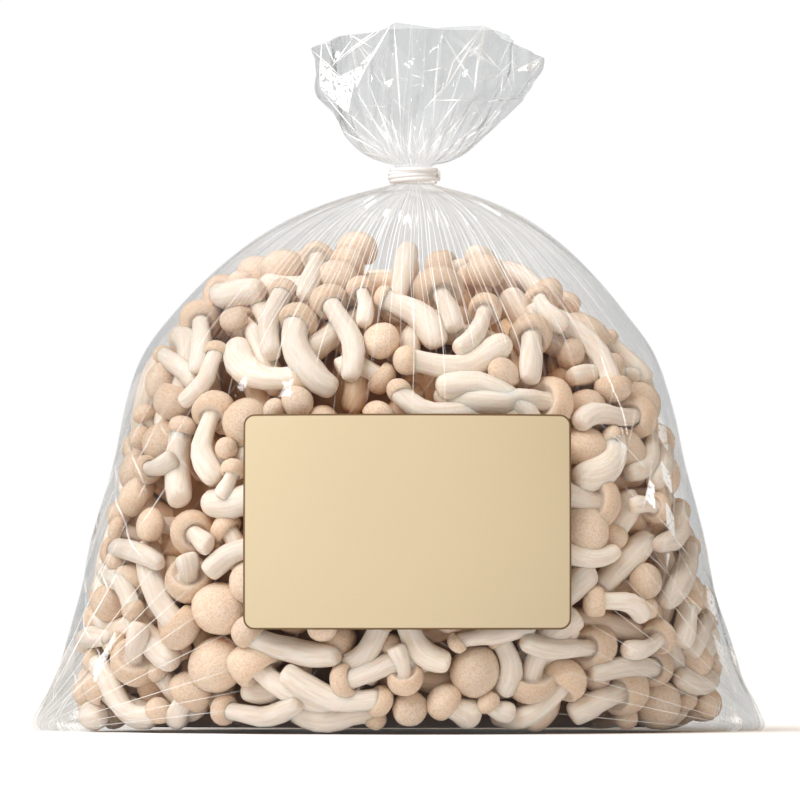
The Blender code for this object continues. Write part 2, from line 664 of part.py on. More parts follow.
def mushroom(name, line, cap_radius, stem_radius, collection, materials):
    """One mushroom: a profile carried along its spine, from the foot of the stem to the crown of the cap."""
    sides = WIDE_SIDES if cap_radius > WIDE_CAP_RADIUS else NARROW_SIDES
    foot_up = line[::-1]
    axis = foot_up[-1] - foot_up[-2]
    axis /= np.linalg.norm(axis)
    levels = len(STEM_PROFILE)
    stem = resample(foot_up[:-1], np.linspace(0, 1, levels))
    rings = [(point, share * stem_radius) for point, share in zip(stem, STEM_PROFILE)]
    rings += [(foot_up[-1] + axis * height * cap_radius, share * cap_radius) for height, share in CAP_PROFILE]
    tangents = np.gradient(stem, axis=0)
    tangents = np.vstack([tangents, np.repeat(axis[None], len(CAP_PROFILE), axis=0)])
    side = np.cross(tangents[0], (0.31, 0.87, 0.38))
    points = [foot_up[0] - FOOT_BULGE * stem_radius * tangents[0] / np.linalg.norm(tangents[0])]
    turn = np.arange(sides) * 2 * math.pi / sides
    for (centre, radius), tangent in zip(rings, tangents):
        tangent = tangent / np.linalg.norm(tangent)
        side = side - tangent * (side @ tangent)
        side /= np.linalg.norm(side)
        across = np.cross(tangent, side)
        points += list(centre + radius * (np.outer(np.cos(turn), side) + np.outer(np.sin(turn), across)))
    points.append(foot_up[-1] + axis * CAP_CROWN * cap_radius)
    made = mesh_object(name, points, loft_faces(len(rings), sides), collection, materials)
    in_cap = 1 + levels * sides
    for face in made.data.polygons:
        face.material_index = int(min(face.vertices) >= in_cap)
    return made


def heap_core(collection, materials):
    """The lump that the mushrooms stand out of: level rings, each as wide as the heap less the margin."""
    turn = np.arange(CORE_SIDES) * 2 * math.pi / CORE_SIDES
    aim = np.stack([HEAP_HALF_WIDTH * np.cos(turn), HEAP_HALF_DEPTH * np.sin(turn)], axis=1)
    points = [(0.0, 0.0, CORE_LEVELS[0])]
    for level in CORE_LEVELS:
        inner, outer = np.zeros(CORE_SIDES), np.ones(CORE_SIDES)
        for _ in range(HALVINGS):
            middle = (inner + outer) / 2
            reach = np.column_stack([aim * middle[:, None], np.full(CORE_SIDES, level)])
            inside = heap_depth(reach)[0] > CORE_DEPTH
            inner, outer = np.where(inside, middle, inner), np.where(inside, outer, middle)
        points += list(np.column_stack([aim * inner[:, None], np.full(CORE_SIDES, level)]))
    points.append((HEAP_LEAN, 0.0, HEAP_HEIGHT - CORE_DEPTH))
    faces = loft_faces(len(CORE_LEVELS), CORE_SIDES)
    return mesh_object("mushroom_bunch", points, faces, collection, materials)


def drop_cavities(mesh):
    """Removes the closed shells that face inwards, left where mushrooms shut in a pocket between them."""
    work = bmesh.new()
    work.from_mesh(mesh)
    left = set(work.faces)
    while left:
        shell, edge_of = set(), [left.pop()]
        while edge_of:
            face = edge_of.pop()
            shell.add(face)
            for edge in face.edges:
                for beside in edge.link_faces:
                    if beside in left:
                        left.discard(beside)
                        edge_of.append(beside)
        volume = sum(face.calc_center_median().dot(face.normal) * face.calc_area() for face in shell) / 3
        if volume < 0:
            bmesh.ops.delete(work, geom=list(shell), context="FACES")
    work.to_mesh(mesh)
    work.free()


def mushroom_bunch(collection, materials):
    """All the mushrooms, fused with each other and with the core by one union."""
    draw = np.random.default_rng(SCATTER_SEED)
    front, front_radii = front_mushrooms(FRONT_MUSHROOMS, draw)
    rest, rest_radii = scattered_mushrooms(SCATTER_COUNT, draw, front)
    spines = settle(np.vstack([front, rest]), np.vstack([front_radii, rest_radii]))
    radii = np.vstack([front_radii, rest_radii])
    spines = root(spines)
    core = heap_core(collection, materials)
    single = new_collection("single mushrooms")
    for i, (line, (cap_radius, stem_radius)) in enumerate(zip(spines, radii)):
        mushroom(f"mushroom_{i}", line, cap_radius, stem_radius, single, materials)
    fuse(core, single)
    drop_cavities(core.data)
    print("mushroom_bunch holds", len(spines), "mushrooms")
    return core


def main():
    clear_scene()
    parts = new_collection("bag of shimeji mushrooms")
    bag_film(parts, finish_material("clear film", FILM_COLOUR, 0.15, 0.3))
    neck_tie(parts, finish_material("white tie strip", TIE_COLOUR, 0.35))
    label(parts, finish_material("label paper", LABEL_COLOUR, 0.5))
    stem = finish_material("shimeji stem", STEM_COLOUR, 0.5)
    cap = finish_material("shimeji cap", CAP_COLOUR, 0.45)
    mushroom_bunch(parts, [stem, cap])


main()
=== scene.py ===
# %% [markdown]
# A clear bag of white shimeji mushrooms. The solids come packed, in metres, with the bag standing on z = 0,
# its label facing -Y and its tied neck up +Z. Each is dressed here with a finer surface in the same place.
# Lengths are written in millimetres, because that is how a bag and a mushroom are measured, and turned to
# metres once.

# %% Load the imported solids
import math

import bpy
import numpy as np
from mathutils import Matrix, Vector


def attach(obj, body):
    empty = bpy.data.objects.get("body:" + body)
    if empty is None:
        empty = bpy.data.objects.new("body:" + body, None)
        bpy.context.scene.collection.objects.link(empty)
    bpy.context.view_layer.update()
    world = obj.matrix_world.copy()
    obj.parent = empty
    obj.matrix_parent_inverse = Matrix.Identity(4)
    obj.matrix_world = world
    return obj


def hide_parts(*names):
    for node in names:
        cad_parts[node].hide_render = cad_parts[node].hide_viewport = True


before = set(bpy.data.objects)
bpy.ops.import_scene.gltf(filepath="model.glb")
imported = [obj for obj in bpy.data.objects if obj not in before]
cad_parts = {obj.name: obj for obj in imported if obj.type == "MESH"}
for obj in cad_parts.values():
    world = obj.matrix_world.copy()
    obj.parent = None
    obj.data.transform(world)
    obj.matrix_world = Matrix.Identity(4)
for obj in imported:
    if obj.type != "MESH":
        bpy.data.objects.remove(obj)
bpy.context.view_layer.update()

MM = 0.001
scene = bpy.context.scene
print("solids:", ", ".join(sorted(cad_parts)))

# %% [markdown]
# Almost everything here is a skin carried through rings of points: the film, the tie, every mushroom. A
# loop over the vertices would be slow, so one helper takes all the rings as a numpy array and hands Blender
# whole arrays.

# %% Helpers that skin rings of points


def finish_mesh(mesh, values=None):
    """Smooth faces, and each array kept as an attribute on the points: a vector where its last axis is 3."""
    mesh.polygons.foreach_set("use_smooth", np.ones(len(mesh.polygons), bool))
    for key, grid in (values or {}).items():
        flat = grid.reshape(len(mesh.vertices), -1)
        kind, field = ("FLOAT_VECTOR", "vector") if flat.shape[1] == 3 else ("FLOAT", "value")
        mesh.attributes.new(key, kind, "POINT").data.foreach_set(field, flat.reshape(-1))
    return mesh


def skins(name, rings, values=None):
    """One mesh of closed skins. rings has a shape's number, ring, side and coordinate as its axes.

    Quads join each ring to the next, and a fan to the ring's middle point closes each end. values holds more
    arrays with the same first three axes, kept as attributes on the points.
    """
    shapes, count, sides = rings.shape[:3]
    each = count * sides + 2
    index = 1 + np.arange(count * sides).reshape(count, sides)
    ahead = np.roll(index, -1, axis=1)
    quads = np.stack([index[:-1], ahead[:-1], ahead[1:], index[1:]], axis=-1).reshape(-1)
    low = np.stack([np.zeros(sides, int), ahead[0], index[0]], axis=-1).reshape(-1)
    high = np.stack([index[-1], ahead[-1], np.full(sides, each - 1)], axis=-1).reshape(-1)
    one = np.concatenate([quads, low, high])
    corners = (one[None, :] + each * np.arange(shapes)[:, None]).reshape(-1)
    lengths = np.tile(np.repeat([4, 3], [(count - 1) * sides, 2 * sides]), shapes)

    def with_ends(grid):
        flat = grid.reshape(shapes, count * sides, -1)
        return np.concatenate([grid[:, 0].mean(axis=1).reshape(shapes, 1, -1), flat,
                               grid[:, -1].mean(axis=1).reshape(shapes, 1, -1)], axis=1)

    mesh = bpy.data.meshes.new(name)
    mesh.vertices.add(shapes * each)
    mesh.vertices.foreach_set("co", with_ends(rings).reshape(-1))
    mesh.loops.add(len(corners))
    mesh.loops.foreach_set("vertex_index", corners)
    mesh.polygons.add(len(lengths))
    mesh.polygons.foreach_set("loop_start", np.concatenate([[0], np.cumsum(lengths)[:-1]]))
    mesh.update(calc_edges=True)
    return finish_mesh(mesh, {key: with_ends(grid) for key, grid in (values or {}).items()})


def piece(name, mesh, material, node):
    """An object for a finished mesh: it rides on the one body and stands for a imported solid."""
    made = bpy.data.objects.new(name, mesh)
    scene.collection.objects.link(made)
    mesh.materials.append(material)
    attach(made, "root")
    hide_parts(node)
    print(f"{name}: {sum(len(p.vertices) - 2 for p in mesh.polygons)} triangles")


# %% [markdown]
# Materials need the same two things again and again: a colour given as people write it, and a node with its
# settings. Hex codes are sRGB, and shaders want linear light, so the colour passes through the sRGB curve.

# %% Helpers for colours and nodes


def srgb(code):
    """A hex colour as linear light: each part divided by 12.92 near black, and a power of 2.4 above."""
    parts = np.array([int(code[i : i + 2], 16) for i in (1, 3, 5)]) / 255
    linear = np.where(parts <= 0.04045, parts / 12.92, ((parts + 0.055) / 1.055) ** 2.4)
    return (*(float(part) for part in linear), 1.0)


def add(tree, kind, inputs=None, **settings):
    """Adds a node with its settings. An input takes a number, a socket, or a node, for its result."""
    node = tree.nodes.new("ShaderNode" + kind)
    for name, value in settings.items():
        setattr(node, name, value)
    for key, value in (inputs or {}).items():
        if isinstance(value, bpy.types.Node):
            value = next(socket for socket in value.outputs if socket.enabled)
        if isinstance(value, bpy.types.NodeSocket):
            tree.links.new(value, node.inputs[key])
        else:
            node.inputs[key].default_value = value
    return node


def new_material(name):
    """A material with an empty node tree."""
    material = bpy.data.materials.new(name)
    material.use_nodes = True
    material.node_tree.nodes.clear()
    return material, material.node_tree


print("the edge of a shimeji cap, linear:", [round(part, 3) for part in srgb("#E2C8AD")[:3]])

# %% [markdown]
# The bag was cut flat, and its shape once filled is known at sixteen heights: how wide and deep it is, and
# how pointed its section is. Near the base a power well over 1 draws the section out to the two sealed
# corners. Read along a smooth curve, those rows give the film at any height, where straight joins would
# show as bands of shine.

# %% The bag's outline
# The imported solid's wall in mm, how far the corners are pressed flat, up to what height, and the hollow at
# the neck
BAG_WALL, CORNER_FLAT, CORNER_HEIGHT, NECK_HOLLOW = 0.6, 2.5, 32.0, 5.0
# Height, half width, half depth, power across, power deep, centre in x, in millimetres and powers
BODY_ROWS = np.array((
    (0.0, 134.0, 60.0, 1.00, 1.90, 0.0),
    (3.0, 135.5, 68.0, 1.00, 1.85, 0.0),
    (10.0, 132.3, 73.0, 1.00, 1.70, 0.0),
    (20.0, 126.6, 77.0, 1.00, 1.40, 0.0),
    (32.0, 122.6, 79.5, 0.97, 1.10, 0.0),
    (50.0, 117.4, 81.0, 0.93, 0.92, 0.0),
    (70.0, 113.0, 81.0, 0.90, 0.86, 0.0),
    (98.0, 105.6, 79.5, 0.90, 0.84, 0.0),
    (120.0, 100.6, 76.5, 0.90, 0.86, 0.0),
    (140.0, 94.0, 70.0, 0.92, 0.90, 0.2),
    (156.0, 82.5, 61.0, 0.96, 0.94, 0.6),
    (170.0, 69.5, 51.0, 1.00, 1.00, 1.2),
    (181.0, 56.5, 41.0, 1.00, 1.00, 2.2),
    (190.0, 42.0, 31.0, 1.00, 1.00, 3.4),
    (196.5, 26.5, 21.0, 1.00, 1.00, 4.6),
    (200.5, 12.5, 11.5, 1.00, 1.00, 5.2),
))
NECK_HALF = 7.0
NECK_CENTRE_X = 5.2
TIE_BOTTOM, TIE_TOP = 202.2, 209.0


def smooth_rows(rows, place):
    """Rows read between their own places, on a smooth curve through them all.

    A cubic joins each two rows, and its slope at a row is half the difference of the two rows beside it.
    """
    rows = np.vstack([2 * rows[0] - rows[1], rows, 2 * rows[-1] - rows[-2]])
    first = np.clip(np.floor(place).astype(int), 0, len(rows) - 4)
    t = (place - first)[:, None]
    a, b, c, d = rows[first], rows[first + 1], rows[first + 2], rows[first + 3]
    return b + 0.5 * t * (c - a + t * (2 * a - 5 * b + 4 * c - d + t * (3 * b - a - 3 * c + d)))


def inset(rows, wall):
    """The film's inner face: each row moves in along its own slope by the wall."""
    inner = rows.copy()
    run, rise = np.gradient(rows[:, 1]), np.gradient(rows[:, 0])
    inner[:, 0] += wall * run / np.hypot(run, rise)
    for half in (1, 2):
        run = np.gradient(rows[:, half])
        inner[:, half] -= wall * rise / np.hypot(run, rise)
    return inner


def body_inner_rows():
    """The inner face of the filled part. The two films of a base corner meet, so it stops short of them."""
    inner = inset(BODY_ROWS, BAG_WALL)
    inner[:, 1] -= CORNER_FLAT * np.clip(1 - inner[:, 0] / CORNER_HEIGHT, 0, 1)
    inner[0, 0] = BAG_WALL
    inner[-1, 1:3] = NECK_HOLLOW
    return inner


INNER_ROWS = body_inner_rows()


def sections(rows, turn):
    """Rings of points in mm: x is the half width times cos to a power, y the half depth times sin to one."""
    height, half_width, half_depth, across, deep, centre = (column[:, None] for column in rows.T)
    cos, sin = np.cos(turn), np.sin(turn)
    x = centre + half_width * np.sign(cos) * np.abs(cos) ** across
    y = half_depth * np.sign(sin) * np.abs(sin) ** deep
    return np.stack([x, y, height + 0 * x], axis=-1)


print("the bag is", 2 * BODY_ROWS[:, 1].max(), "mm wide and", 2 * BODY_ROWS[:, 2].max(), "mm deep")

# %% [markdown]
# The mushrooms lie in a dome under the bag's shoulders. Two level surfaces bound them: the film's inner
# face, and the dome. How deep a point lies under a level surface is its level's shortfall divided by its
# slope, which holds close to the surface, where it matters. That one measure places, pushes and holds every
# mushroom.

# %% Where the heap ends
# The dome's half width, half depth and height, the power that rounds its top, and how far its top leans left
HEAP_HALF_WIDTH = 119.5 * MM
HEAP_HALF_DEPTH = 83.0 * MM
HEAP_HEIGHT = 186.0 * MM
HEAP_ROUNDING = 3
HEAP_LEAN = -9.0 * MM
# How far the mushrooms keep from the film, and from the table under it
FILM_CLEARANCE, OFF_TABLE = 1.6 * MM, 1.5 * MM
# The step over which a surface's slope is measured
SLOPE_STEP = 0.2 * MM


def film_level(points):
    """How far out a point is: below 1 inside the film's inner face, and 1 on it.

    It is (x / half width)^(2 / power) + (y / half depth)^(2 / power), with the row at the point's height.
    """
    x, y, z = (points / MM).T
    _, half_width, half_depth, across, deep, centre = (
        np.interp(z, INNER_ROWS[:, 0], column) for column in INNER_ROWS.T)
    return (np.abs(x - centre) / half_width) ** (2 / across) + (np.abs(y) / half_depth) ** (2 / deep)


def heap_level(points):
    """Below 1 inside the dome of the heap, 1 on it: two squares and a cube add up, and the top leans left."""
    x, y, z = points.T
    up = np.clip(z / HEAP_HEIGHT, 0, None)
    centre = HEAP_LEAN * np.clip(up, 0, 1) ** 4
    return ((x - centre) / HEAP_HALF_WIDTH) ** 2 + (y / HEAP_HALF_DEPTH) ** 2 + up**HEAP_ROUNDING


def depth_under(level, points):
    """How deep points are under a level surface, and which way is in, from the level's slope."""
    step = SLOPE_STEP
    here = level(points)
    slope = np.stack([(level(points + step * axis) - here) / step for axis in np.eye(3)], axis=1)
    steep = np.linalg.norm(slope, axis=1) + 1e-9
    return (1 - here) / steep, -slope / steep[:, None]


def heap_depth(points):
    """The lesser depth of the two surfaces that bound the heap, and its way in."""
    film, film_in = depth_under(film_level, points)
    dome, dome_in = depth_under(heap_level, points)
    film = film - FILM_CLEARANCE
    nearer = film < dome
    return np.where(nearer, film, dome), np.where(nearer[:, None], film_in, dome_in)


sample = np.array([[0.0, -60 * MM, 80 * MM]])
print("a point 60 mm before the bag's middle lies", round(float(heap_depth(sample)[0][0]) / MM, 1), "mm deep")

# %% [markdown]
# What shows at the front is read off: for each mushroom its cap's centre, the cap's width, the
# stem's thickness, how much deeper than the film it lies, and the points its stem passes. A pixel is 0.37
# mm at the bag's middle. A reading alone gives no depth, so each point slides along its line of sight until
# it lies at its depth.

# %% The mushrooms that show at the front
MM_PER_PIXEL = 0.37
# The pixel column of the bag's middle and the pixel row of the table
PHOTO_CENTRE_PX, PHOTO_FLOOR_PX = 399, 731
# The eye's height over the table and its distance from the bag's middle, in metres
EYE_HEIGHT, EYE_DISTANCE = 45.0 * MM, 2.6

# Cap's centre in pixels, cap's width, stem's thickness and extra depth in mm, points of the stem in pixels.
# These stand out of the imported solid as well.
MAIN_READINGS = (
    (281, 271, 17.5, 8.0, 0, ()),
    (355, 251, 16.0, 8.0, 0, ()),
    (198, 325, 16.5, 7.0, 0, ((204, 345), (201, 373))),
    (283, 296, 11.0, 8.3, 1, ((277, 312), (268, 332), (272, 365))),
    (329, 301, 14.0, 8.0, 0, ((341, 320), (354, 345), (350, 380))),
    (381, 340, 14.0, 7.0, 0, ()),
    (222, 352, 9.0, 6.8, 1, ((214, 365), (202, 386), (180, 402))),
    (209, 412, 16.5, 8.0, 0, ((204, 428), (201, 455), (219, 482))),
    (186, 428, 10.0, 10.0, 3, ((179, 444), (176, 474), (195, 503))),
    (487, 273, 15.5, 7.0, 0, ()),
    (441, 292, 19.0, 8.0, 0, ((450, 314), (457, 334))),
    (394, 308, 10.0, 8.0, 4, ((399, 292), (404, 272), (408, 254))),
    (538, 299, 10.5, 6.8, 0, ((546, 312), (566, 329))),
    (484, 309, 13.0, 7.0, 1, ((478, 325), (468, 342), (454, 352))),
    (538, 334, 16.5, 8.0, 0, ((531, 350), (524, 380))),
    (587, 339, 20.5, 9.0, 0, ()),
    (633, 417, 18.0, 8.0, 0, ((613, 418), (594, 414), (577, 426))),
    (609, 436, 8.0, 10.0, 1, ((618, 447), (606, 474), (578, 489))),
    (668, 465, 17.0, 8.0, 0, ()),
    (384, 302, 9.0, 9.0, 3, ((402, 308), (427, 320), (443, 345))),
    (405, 360, 11.0, 9.0, 1, ((418, 358), (464, 364), (510, 344))),
    (396, 392, 9.0, 8.5, 3, ((404, 402), (434, 414), (486, 394))),
    (498, 382, 13.0, 7.0, 0, ()),
    (150, 526, 13.0, 7.0, 0, ()),
    (193, 526, 17.0, 7.5, 0, ((200, 543), (210, 556))),
    (255, 547, 11.0, 8.0, 3, ((240, 549), (222, 552), (202, 567))),
    (191, 586, 18.0, 8.0, 0, ((189, 562), (186, 552))),
    (222, 611, 20.5, 9.0, 0, ()),
    (176, 630, 18.0, 10.5, 0, ((163, 606), (150, 575), (135, 540))),
    (145, 661, 18.5, 7.0, 0, ((139, 636), (137, 615))),
    (209, 671, 21.5, 9.0, 0, ()),
    (161, 715, 10.5, 8.0, 0, ((143, 722), (118, 706), (110, 682), (94, 664))),
    (227, 709, 11.5, 7.5, 0, ((245, 711), (272, 713), (302, 694))),
    (247, 628, 12.0, 9.0, 3, ((258, 640), (295, 661), (338, 664))),
    (380, 703, 12.0, 9.0, 0, ((368, 697), (337, 697), (306, 683), (284, 664))),
    (383, 624, 10.0, 8.5, 4, ((378, 640), (364, 661), (334, 676))),
    (583, 535, 20.5, 9.0, 0, ()),
    (655, 504, 12.0, 5.5, 0, ((642, 505), (630, 506))),
    (681, 509, 9.0, 7.5, 0, ((679, 518), (680, 536), (656, 544))),
    (643, 582, 14.0, 7.0, 1, ()),
    (594, 602, 11.5, 7.0, 0, ((611, 601), (632, 603), (645, 619))),
    (598, 650, 18.0, 7.5, 0, ((573, 647), (548, 648), (520, 642))),
    (660, 639, 13.5, 7.0, 0, ((647, 650), (622, 653))),
    (621, 689, 19.5, 9.5, 0, ((598, 702), (566, 717))),
    (662, 697, 18.5, 8.0, 0, ()),
    (542, 706, 19.0, 8.0, 0, ()),
    (474, 673, 19.5, 8.0, 0, ()),
    (442, 702, 14.5, 11.0, 0, ((456, 708), (474, 718))),
    (598, 703, 11.0, 10.5, 4, ((582, 694), (552, 669), (518, 645))),
    (506, 636, 10.0, 8.0, 4, ((512, 650), (514, 672), (500, 692))),
    (405, 678, 14.5, 6.5, 0, ((402, 662), (398, 645))),
    (400, 622, 11.0, 8.5, 3, ((405, 638), (424, 657), (452, 660))),
    (408, 705, 13.0, 8.0, 0, ()),
    (694, 549, 9.5, 8.0, 0, ((688, 562), (676, 588), (663, 606))),
    (689, 604, 10.0, 8.0, 0, ((686, 620), (678, 645))),
    (94, 611, 12.0, 7.0, 0, ()),
)
# These are smaller or lie deeper.
SMALL_READINGS = (
    (241, 284, 10.0, 6.0, 0, ()),
    (319, 259, 12.5, 6.5, 1, ((314, 274), (304, 302))),
    (237, 319, 10.5, 6.0, 0, ()),
    (362, 291, 10.5, 6.0, 1, ((365, 303), (366, 328))),
    (230, 452, 8.5, 6.0, 1, ()),
    (230, 470, 9.0, 6.0, 1, ((226, 482), (218, 500))),
    (144, 414, 8.0, 6.0, 0, ()),
    (141, 437, 9.5, 6.0, 0, ()),
    (149, 466, 11.0, 7.0, 1, ((163, 466), (176, 456))),
    (163, 362, 8.0, 6.5, 1, ((176, 362), (190, 372), (192, 385))),
    (298, 402, 12.0, 7.0, 1, ()),
    (273, 409, 8.0, 6.0, 2, ()),
    (603, 346, 9.0, 6.5, 7, ((622, 355), (657, 375))),
    (604, 366, 9.0, 7.0, 7, ((622, 374), (658, 394))),
    (622, 402, 9.0, 7.5, 8, ((612, 388), (594, 377), (566, 377))),
    (649, 437, 9.0, 7.5, 4, ((647, 450), (643, 464), (622, 471))),
    (655, 497, 9.0, 6.0, 2, ()),
    (521, 407, 9.5, 6.0, 1, ()),
    (158, 668, 10.0, 10.0, 8, ((167, 680), (180, 700), (196, 722))),
    (303, 672, 9.0, 7.5, 7, ((292, 680), (266, 685), (240, 674))),
    (376, 718, 9.0, 7.5, 3, ((365, 711), (325, 722), (290, 712))),
    (396, 650, 9.0, 7.0, 5, ((388, 662), (357, 678))),
    (117, 532, 9.0, 6.0, 0, ()),
    (119, 559, 9.5, 6.0, 0, ()),
    (134, 614, 9.0, 7.5, 1, ((129, 602), (122, 583), (103, 574))),
    (116, 648, 9.0, 8.0, 2, ((112, 638), (84, 638), (74, 650))),
    (79, 697, 10.0, 6.0, 0, ()),
    (94, 669, 11.5, 7.0, 1, ()),
    (604, 532, 11.0, 9.0, 8, ((612, 522), (623, 508), (622, 492))),
    (596, 592, 10.0, 10.0, 7, ((601, 583), (624, 562), (648, 540))),
    (484, 707, 9.0, 7.5, 1, ((496, 706), (514, 714))),
    (455, 641, 8.0, 6.0, 3, ((463, 637), (497, 638), (536, 633))),
    (706, 620, 9.0, 7.5, 0, ((701, 636), (691, 660))),
    (706, 595, 10.0, 6.0, 0, ()),
    (683, 700, 9.0, 8.0, 4, ((682, 684), (681, 658), (670, 633))),
    (706, 697, 9.5, 6.0, 0, ()),
    (713, 669, 8.0, 6.0, 0, ()),
    (650, 605, 8.0, 6.0, 3, ()),
    (637, 664, 8.0, 6.0, 5, ()),
    (624, 720, 9.0, 6.0, 3, ()),
    (568, 606, 10.0, 9.0, 3, ((576, 594), (584, 574), (592, 563))),
    (383, 380, 12.0, 7.5, 7, ((370, 371), (352, 365), (336, 371))),
    (228, 526, 12.0, 7.5, 7, ((236, 540), (238, 556), (232, 570))),
)


# How often a point slides, where it starts, and how far back it may go: just before the bag's middle
SLIDES = 60
FIRST_GUESS, FURTHEST_BACK = -60 * MM, -2 * MM


def place_at_depth(pixels, depths):
    """Points seen at these pixels: each slides back or forward along its line of sight to its depth.

    The further back a point lies, the wider it is for the same pixel: its x, and its height over the eye's,
    are those at the bag's middle times 1 + back / the eye's distance. Each slide goes half of what is
    missing.
    """
    pixels = np.array(pixels, float)
    back = np.full(len(pixels), FIRST_GUESS)
    flat_x = (pixels[:, 0] - PHOTO_CENTRE_PX) * MM_PER_PIXEL * MM
    flat_z = (PHOTO_FLOOR_PX - pixels[:, 1]) * MM_PER_PIXEL * MM
    for _ in range(SLIDES):
        wider = 1 + back / EYE_DISTANCE
        x, z = flat_x * wider, EYE_HEIGHT + (flat_z - EYE_HEIGHT) * wider
        depth, _ = heap_depth(np.stack([x, back, z], axis=1))
        back = np.minimum(back + 0.5 * (depths - depth), FURTHEST_BACK)
    return np.stack([x, back, z], axis=1)


print(len(MAIN_READINGS) + len(SMALL_READINGS), "mushrooms are read at the front")

# %% [markdown]
# A mushroom is kept as a spine of seven points: the cap's centre, then down the stem to its foot. Cubics
# like those between the rows above turn a few points into such a spine. Where a cap faces the eye its stem
# is out of sight, so it goes in.

# %% Spines of the mushrooms
STEM_POINTS = 6
CURVE_STEPS = 12
# A stem starts this share of the cap's radius under its centre. A hidden one goes straight in, by these
# lengths.
UNDER_CAP = 0.8
HIDDEN_STEM = (0, 14 * MM, 34 * MM)


def resample(points, stations):
    """Points at these shares of the length, or distances, along the smooth curve through the given points."""
    points = np.array(points)
    ends = np.vstack([2 * points[0] - points[1], points, 2 * points[-1] - points[-2]])
    share = np.linspace(0, 1, CURVE_STEPS, endpoint=False)[:, None]
    pieces = [
        b + 0.5 * share * (c - a + share * (2 * a - 5 * b + 4 * c - d + share * (3 * b - a - 3 * c + d)))
        for a, b, c, d in zip(ends, ends[1:], ends[2:], ends[3:])
    ]
    curve = np.vstack([*pieces, points[-1:]])
    along = np.concatenate([[0], np.cumsum(np.linalg.norm(np.diff(curve, axis=0), axis=1))])
    stations = np.array(stations) * (along[-1] if stations[-1] <= 1 else 1)
    return np.stack([np.interp(stations, along, c) for c in curve.T], axis=1)


def spine(points, cap_radius):
    """A mushroom's spine: the cap's centre, the top of the stem close under it, and on down the stem."""
    length = np.linalg.norm(np.diff(np.array(points), axis=0), axis=1).sum()
    neck = min(UNDER_CAP * cap_radius / length, 0.5)
    return resample(points, [0, *np.linspace(neck, 1, STEM_POINTS)])


def front_mushrooms(readings, draw):
    """Spines and radii of the mushrooms read at the front, each point its own radius under the film."""
    spines, radii = [], []
    for cap_x, cap_y, across, thick, deeper, stem in readings:
        cap_radius, stem_radius = across / 2 * MM, thick / 2 * MM
        depths = np.array([cap_radius + deeper * MM] + [stem_radius + deeper * MM] * len(stem))
        points = place_at_depth([(cap_x, cap_y), *stem], depths)
        if not stem:
            _, way_in = heap_depth(points)
            aside = np.array([draw.uniform(-0.5, 0.5), 0, draw.uniform(-0.6, 0.3)])
            way = way_in[0] + aside
            way /= np.linalg.norm(way)
            points = points[0] + np.outer(HIDDEN_STEM, way)
        spines.append(spine(points, cap_radius))
        radii.append((cap_radius, stem_radius))
    return np.array(spines), np.array(radii)


# In mm: a cap's and a stem's radius and a stem's length, from the least to the most
CAP_RADII, STEM_RADII, STEM_LENGTHS = (6.0, 10.0), (3.7, 5.0), (34, 56)
# How far a stem may bow, in radians, how many steps it takes, and the share of the stems that go in
MOST_BOW, BOW_STEPS, GOING_IN = 1.6, 4, 0.25
SPACING_SHRINKS = 0.999
# How often a cap, and each point of a stem, is moved to its depth
CAP_MOVES, STEM_MOVES = 30, 4


def scattered_mushrooms(count, draw, taken, deeper=0.0, spacing=24 * MM, highest=178):
    """Spines and radii of mushrooms spread evenly over the heap at one depth, each clear of the caps there.

    A cap is drawn anywhere on the dome, moved to its depth, and kept where no other is closer than the
    spacing, which shrinks a little at each try. Its stem bows over the surface, or goes in.
    """
    spines, radii, caps = [], [], [tuple(p) for p in taken[:, 0]]
    while len(spines) < count:
        spacing *= SPACING_SHRINKS
        turn, height = draw.uniform(0, 2 * math.pi), draw.uniform(6, highest) * MM
        cap_radius, stem_radius = draw.uniform(*CAP_RADII) * MM, draw.uniform(*STEM_RADII) * MM
        heading, bow = draw.uniform(0, 2 * math.pi), draw.uniform(-MOST_BOW, MOST_BOW)
        length, goes_in = draw.uniform(*STEM_LENGTHS) * MM, draw.uniform(0, 1) < GOING_IN
        reach = math.sqrt(1 - (height / HEAP_HEIGHT) ** HEAP_ROUNDING)
        x, y = HEAP_HALF_WIDTH * reach * math.cos(turn), HEAP_HALF_DEPTH * reach * math.sin(turn)
        cap = np.array([[x, y, height]])
        for _ in range(CAP_MOVES):
            depth, way_in = heap_depth(cap)
            cap = cap + way_in * (cap_radius + deeper - depth)[:, None]
            cap[:, 2] = np.maximum(cap[:, 2], cap_radius + OFF_TABLE)
        if min(np.linalg.norm(np.array(c) - cap[0]) for c in caps) < spacing:
            continue
        _, way_in = heap_depth(cap)
        across = np.cross(way_in[0], (0.0, 0.0, 1.0))
        across /= np.linalg.norm(across)
        up = np.cross(across, way_in[0])
        points, here = [cap[0]], cap
        step = length / BOW_STEPS
        for i in range(BOW_STEPS):
            angle = heading + bow * i / (BOW_STEPS - 1)
            way = math.cos(angle) * across + math.sin(angle) * up
            if goes_in:
                way = way_in[0] + 0.35 * way
            here = here + step * way / np.linalg.norm(way)
            for _ in range(0 if goes_in else STEM_MOVES):
                depth, inward = heap_depth(here)
                here = here + inward * (stem_radius + deeper + 1 * MM * i - depth)[:, None]
            here[:, 2] = np.maximum(here[:, 2], stem_radius + OFF_TABLE)
            points.append(here[0])
        caps.append(tuple(cap[0]))
        spines.append(spine(points, cap_radius))
        radii.append((cap_radius, stem_radius))
    return np.array(spines), np.array(radii)


